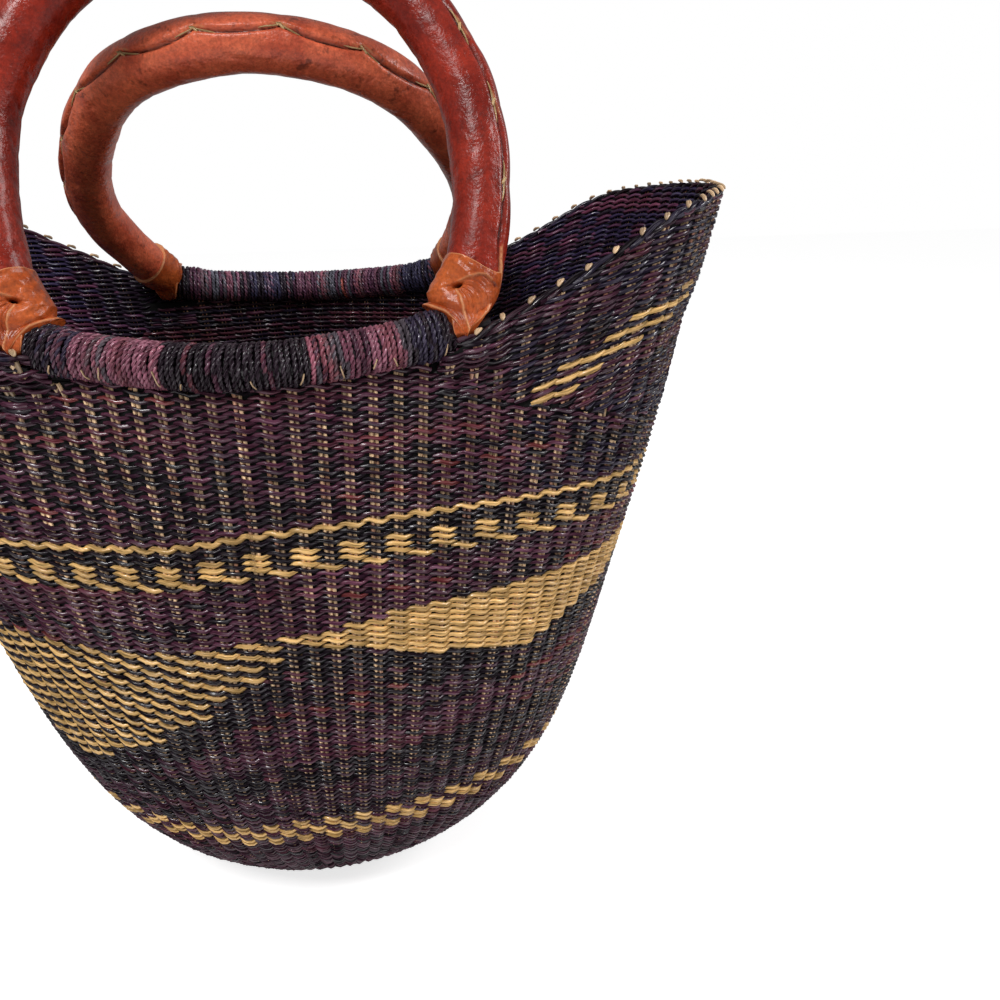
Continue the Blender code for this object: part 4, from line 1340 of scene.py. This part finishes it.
# foot wraps: a leather strap knotted round the roll and the handle's foot
wrap = {
    "top": {"front": (0.02486, -0.00075, -0.00122, -0.00035, -0.00105, 0.00020, -0.00015),
            "back": (0.0205, 0.0, -0.0020, 0.0, 0.0, 0.0, 0.0)},
    "bottom": -0.003,
    "reach": (-0.004, 0.034),
    "heights": (-0.003, 0.0002, 0.0038, 0.0080, 0.0118, 0.0156, 0.0192, 0.0240, 0.0286),
    "innerWidths": (0.0040, 0.0060, 0.0100, 0.0148, 0.0158, 0.0142, 0.0128, 0.0115, 0.0108),
    "outerWidths": (0.0030, 0.0040, 0.0056, 0.0084, 0.0100, 0.0110, 0.0114, 0.0115, 0.0114),
    "halfDepths": (0.0070, 0.0082, 0.0094, 0.0104, 0.0110, 0.0115, 0.0118, 0.0119, 0.0119),
    "knot": (-0.0053, 0.0143),
    "girth": 0.0125,           # turns an angle round the wrap into a way across it
    "folds": (((0.4, 1.2), (3.5, 2.7), (8.4, 4.8), (11.8, 5.3), (15.4, 4.1)),
              ((0.1, -1.2), (1.8, -3.8), (2.4, -7.5), (1.9, -10.6), (2.4, -14.0), (3.0, -17.0))),
    "turns": (-180, -100, -40, -10, 5, 20, 35, 55, 75, 95, 125, 180),
    "straps": (
        {"radius": 0.0106,
         "nearRoll": (0.0735, 0.0785, 0.0800, 0.0812, 0.0814, 0.0792, 0.0772, 0.0742, 0.0695, 0.0662, 0.0660, 0.0735),
         "nearWing": (0.0880, 0.0850, 0.0830, 0.0822, 0.0828, 0.0850, 0.0880, 0.0908, 0.0922, 0.0928, 0.0922, 0.0880)},
        {"radius": 0.0100,
         "nearRoll": (0.0750, 0.0775, 0.0785, 0.0785, 0.0774, 0.0770, 0.0768, 0.0760, 0.0750, 0.0740, 0.0740, 0.0750),
         "nearWing": (0.0870, 0.0850, 0.0835, 0.0824, 0.0822, 0.0840, 0.0850, 0.0860, 0.0870, 0.0870, 0.0870, 0.0870)},
    ),
    "fan": ((0.00026, 13, 0.0), (0.00016, 29, 1.0)),   # height, count and start of pleats from the knot
    "fanTwist": 65,
    "creases": (0.00016, 0.00012),
    "slotDepth": 0.0050,       # the hole in the middle of the knot, and the dip round it
    "slotSize": 0.0013,
    "dipDepth": 0.0010,
    "dipSize": 0.0036,
    "ridges": (0.0005, 0.0006),      # along the upper and the lower fold
    "ridgeWidth": 0.0005,
    "stepDepth": 0.0007,       # the leather lies lower past a fold
    "cutWidth": 0.0004,        # the pale cut edge along a fold
    "closing": 0.0018,
    "backInner": 0.0112,       # the back wraps are slimmer inside the arch
    "backPull": 0.0055,
    "foldTurns": (-5, 5, 11, 22, 42, 62, 80),
    "foldPlaces": (0.0829, 0.0829, 0.0831, 0.0826, 0.0817, 0.0820, 0.0822),
    "stations": 150,
    "around": 220,
}


def nearFold(across, up, points):
    # distance to a fold line, and how far past it (right or below is positive)
    best = np.full(across.shape, 1.0)
    past = np.zeros(across.shape)
    for (ax, ay), (bx, by) in zip(points[:-1], points[1:]):
        ax, ay, bx, by = ax / 1000, ay / 1000, bx / 1000, by / 1000
        length = (bx - ax) ** 2 + (by - ay) ** 2
        share = np.clip(((across - ax) * (bx - ax) + (up - ay) * (by - ay)) / length, 0, 1)
        far = np.hypot(across - ax - share * (bx - ax), up - ay - share * (by - ay))
        side = np.sign((bx - ax) * (up - ay) - (by - ay) * (across - ax))
        past = np.where(far < best, -side * far, past)
        best = np.minimum(best, far)
    return best, past


def buildKnot(word, foot, seed):
    # rings of points of the upper part of a wrap, how pale each spot is at the cut edges, and how dark with painted
    # shade in the knot's hole
    middle, ahead, away, outside, at, _ = archFrames(word, 401, 0.0)
    heights = np.linspace(*wrap["reach"], wrap["stations"])
    spot, aside = spotsAt(heights, at, middle), unit(spotsAt(heights, at, away))
    spot = spot + np.minimum(heights, 0.0)[:, None] * ahead[0]
    theta = np.linspace(-math.pi, math.pi, wrap["around"], endpoint=False)
    share, around = np.meshgrid(np.linspace(0, 1, wrap["stations"]), theta, indexing="ij")
    fromFront = np.arctan2(np.cos(around), np.sin(around))
    waves = [1.0] + [wave(step * fromFront) for step in (1, 2, 3) for wave in (np.cos, np.sin)]
    top = sum(amount * wave for amount, wave in zip(wrap["top"][word], waves))
    along = wrap["bottom"] + share * (top - wrap["bottom"])
    base, side = spotsAt(along, heights, spot), spotsAt(along, heights, aside)
    innerWidth, outerWidth, halfDepth = (np.interp(along, wrap["heights"], wrap[key])
                                         for key in ("innerWidths", "outerWidths", "halfDepths"))
    if word == "back":
        innerWidth = innerWidth - 0.55 * (innerWidth - np.minimum(innerWidth, wrap["backInner"]))
    halfWidth = np.where(np.cos(around) < 0, innerWidth, outerWidth)
    knotX = float(np.interp(wrap["knot"][1], heights, spot[:, 0]))
    across = fromFront * wrap["girth"] - wrap["knot"][0] + base[..., 0] - knotX
    up = along - wrap["knot"][1]
    far = np.hypot(across, up)
    spin = np.arctan2(up, across)
    facingOut = smoothStep(np.sin(around), -0.3, 0.2)
    (upperFar, upperPast), (lowerFar, lowerPast) = (nearFold(across, up, fold) for fold in wrap["folds"])
    panel = hump(spin, -1.45, -1.25, 0.30, 0.48)
    bent = spin + wrap["fanTwist"] * far
    fan = sum(high * np.sin(bent * count + start) for high, count, start in wrap["fan"])
    fan = fan * panel * hump(far, 0.0010, 0.0030, 0.009, 0.019)
    left = (1 - panel) * smoothStep(far, 0.002, 0.006)
    steep, flat = wrap["creases"]
    fan = fan + steep * np.sin(along * 1300 + across * 520 + 1.5 * np.sin(across * 300 + seed)) * left
    fan = fan + flat * np.sin(along * 700 - across * 900 + seed) * left
    slot = np.hypot(across * 0.75 + up * 0.30, (up - across * 0.45) * 1.9)
    hole = wrap["slotDepth"] * bell(slot, wrap["slotSize"]) + wrap["dipDepth"] * bell(far, wrap["dipSize"])
    ridge = sum(high * bell(near, wrap["ridgeWidth"]) for high, near in zip(wrap["ridges"], (upperFar, lowerFar)))
    step = hump(-lowerPast, -0.0002, 0.0006, 0.003, 0.008) + hump(upperPast, -0.0002, 0.0006, 0.003, 0.007)
    bulge = 0.0003 * np.sin(around * 2.0 + along * 170 + seed) + 0.0005 * bell(far - 0.007, 0.005)
    relief = (fan - hole + ridge - wrap["stepDepth"] * step) * facingOut + bulge
    relief = relief - wrap["closing"] * smoothStep(share, 0.988, 1.0)
    ring = np.cos(around)[..., None] * side * (halfWidth + relief)[..., None]
    ring = ring + np.sin(around)[..., None] * outside[0] * (halfDepth + relief)[..., None]
    pale = 0.7 * bell(lowerFar, wrap["cutWidth"]) + 0.45 * bell(upperFar, wrap["cutWidth"])
    pale = pale * facingOut * smoothStep(far, 0.0008, 0.002) + 0.7 * smoothStep(share, 0.972, 0.985)
    bit = np.exp(-(((across - 0.0004) / 0.0006) ** 2 + ((up + 0.0003) / 0.0004) ** 2))
    # the knot's hole is painted dark as shade
    dark = bell(slot, 0.0014, 4) * facingOut * (1 - bit)
    tone = np.clip(pale + bit * facingOut, 0, 1) * (1 - dark) - dark
    return (base + ring) * np.array((foot, 1, 1)), tone


def buildWrap(word, label, foot):
    # the knotted part and the two straps that go round under it
    one = handles[word]
    seed = foot + one["side"] * 2.0
    rings, tone = buildKnot(word, foot, seed)
    made = [gridPiece(word + label + "Wrap", rings, tanLeather, tone)]
    turn = np.linspace(0, 2 * math.pi, 160, endpoint=False)
    span = np.linspace(-1, 1, 36)[:, None]
    fromTop = np.degrees(np.arctan2(np.sin(turn), np.cos(turn)))
    for number, strap in enumerate(wrap["straps"]):
        nearRoll, nearWing = (np.interp(fromTop, wrap["turns"], strap[key]) for key in ("nearRoll", "nearWing"))
        if word == "back":
            nearRoll = nearRoll + wrap["backPull"] * smoothStep(np.cos(np.radians(fromTop - 95)), 0.0, 1.0)
        x = foot * (nearRoll + (nearWing - nearRoll) * (span + 1) / 2)
        size = strap["radius"] * (1 - 0.08 * np.abs(span) ** 14) + 0.0002 * np.sin(turn * 3 + span * 4 + seed)
        size = size + 0.00012 * np.sin(span * 26 + turn * 5 + np.sin(turn * 9))
        size = size - 0.0012 * smoothStep(-fromTop, -6.0, 14.0) * smoothStep(fromTop, -120.0, -60.0)
        edge = 0.7 * (np.abs(span) > 0.93) * (np.abs(span) < 0.99) + 0 * turn
        if number == 0:
            past = np.abs(x) - np.interp(fromTop, wrap["foldTurns"], wrap["foldPlaces"])
            shown = hump(fromTop, -8.0, 4.0, 60.0, 75.0)
            fold = bell(past, wrap["cutWidth"])
            size = size - 0.0006 * smoothStep(past, -0.0001, 0.0005) * shown + 0.0005 * fold * shown
            edge = np.maximum(edge, 0.75 * fold * shown)
        y = one["side"] * (handles["hinge"][0] + size * np.cos(turn))
        z = handles["hinge"][1] + size * np.sin(turn)
        made.append(gridPiece(word + label + "Loop" + str(number + 1), np.stack([x, y, z], -1), tanLeather, edge))
    return made


def shadeSheetTop(number):
    # as high as the taller neighbour, so that no corner stays open beside the roll
    return reachAt(np.max(bodyTop(number + np.array((-0.5, 0.0, 0.5)))) + 0.0030)


def tipHeight(number):
    return float(rowHeight(number, 0.0))


def lowDown(number):
    return tipHeight(number) - float(seamHeight(wallX(number))) + wing["shadeSheetDrop"]


def highDown(number):
    soft = abs(float(wallX(number))) < wing["patchEnd"]
    return tipHeight(number) - (wing["patchBottom"] if soft else float(edgeHeight(number)))


def softDown(number):
    return tipHeight(number) - wing["patchBottom"] - 0.0004


def topDown(number):
    x = abs(float(wallX(number)))
    room = float(rimTop(x)) - (wing["underRoll"] if x < wing["rollEnd"] else wing["edgeDrop"])
    return tipHeight(number) - min(room, float(edgeHeight(number)) - 0.0012)


# the whole object
print("building the weave")
bodyPieces = buildBody()
stakes = buildStakes()
# a dark sheet of painted shade inside the body's wall
bodyShadeRings = shadeSheetRings(bodySurface, np.arange(0, weave["stakes"], 0.5), lambda number: 0.004, shadeSheetTop, 30)
bodyShadeSheet = gridPiece("bodyShadeSheet", np.transpose(bodyShadeRings, (1, 0, 2)), shadeSheetMaterial)
for piece in bodyPieces + [stakes, bodyShadeSheet]:
    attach(piece, "basket")
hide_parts("woven_body")
print("building the wings")
for side, label in ((1, "right"), (-1, "left")):
    parts = buildWing(side)
    woven = strandPiece(label + "Wing", asStraw(parts["wing"]), strawTree, wingSizes)
    edging = strandPiece(label + "WingBorder", asStraw(borderLines(side)), strawTree, borderSizes)
    numbers = sideStakes(side)
    across = np.arange(numbers[0] - 0.5, numbers[-1] + 0.51, 0.5)
    # a dark sheet of painted shade inside the wing
    wingShadeSheet = gridPiece(label + "WingShadeSheet", shadeSheetRings(wingSurface, across, lowDown, highDown, 24, -1),
                           shadeSheetMaterial)
    for piece in (woven, edging, wingShadeSheet):
        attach(piece, "basket")
    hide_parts(label + "_wing")
    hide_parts(label + "_wing_edge")
    for word in ("front", "back"):
        patch = strandPiece(label + word.capitalize() + "Patch", asStraw(parts[word]), strawTree, wingSizes)
        near = np.abs(wallX(across)) < wing["patchEnd"] + 0.002
        soft = across[near & (isFront(across) == (word == "front"))]
        # a dark sheet of painted shade inside the patch
        patchShadeSheet = gridPiece(label + word.capitalize() + "PatchShadeSheet",
                            shadeSheetRings(wingSurface, soft, softDown, topDown, 12, -1), shadeSheetMaterial)
        for piece in (patch, patchShadeSheet):
            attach(piece, "basket")
            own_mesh(piece)
print("building the rolls")
for side, word in ((-1, "front"), (1, "back")):
    wound, core = buildRoll(side, word)
    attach(wound, "basket")
    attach(core, "basket")
    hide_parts(word + "_rim_binding")
    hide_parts(word + "_rim_core")
print("building the handles")
for word, seed, material in (("front", 0.4, frontLeather), ("back", 2.3, backLeather)):
    cover, lace = buildCover(word, seed, material)
    thong = strandPiece(word + "Thong", lace, cordTree, plainSizes)
    body = word + "_handle"
    for piece in (cover, thong):
        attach(piece, body)
    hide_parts(word + "_handle_cover", word + "_handle_core")
    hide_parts(word + "_handle_lacing")
    for foot, label in ((1, "right"), (-1, "left")):
        pieces = buildWrap(word, label.capitalize(), foot)
        for piece in pieces:
            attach(piece, body)
        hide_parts(word + "_" + label + "_foot_wrap")
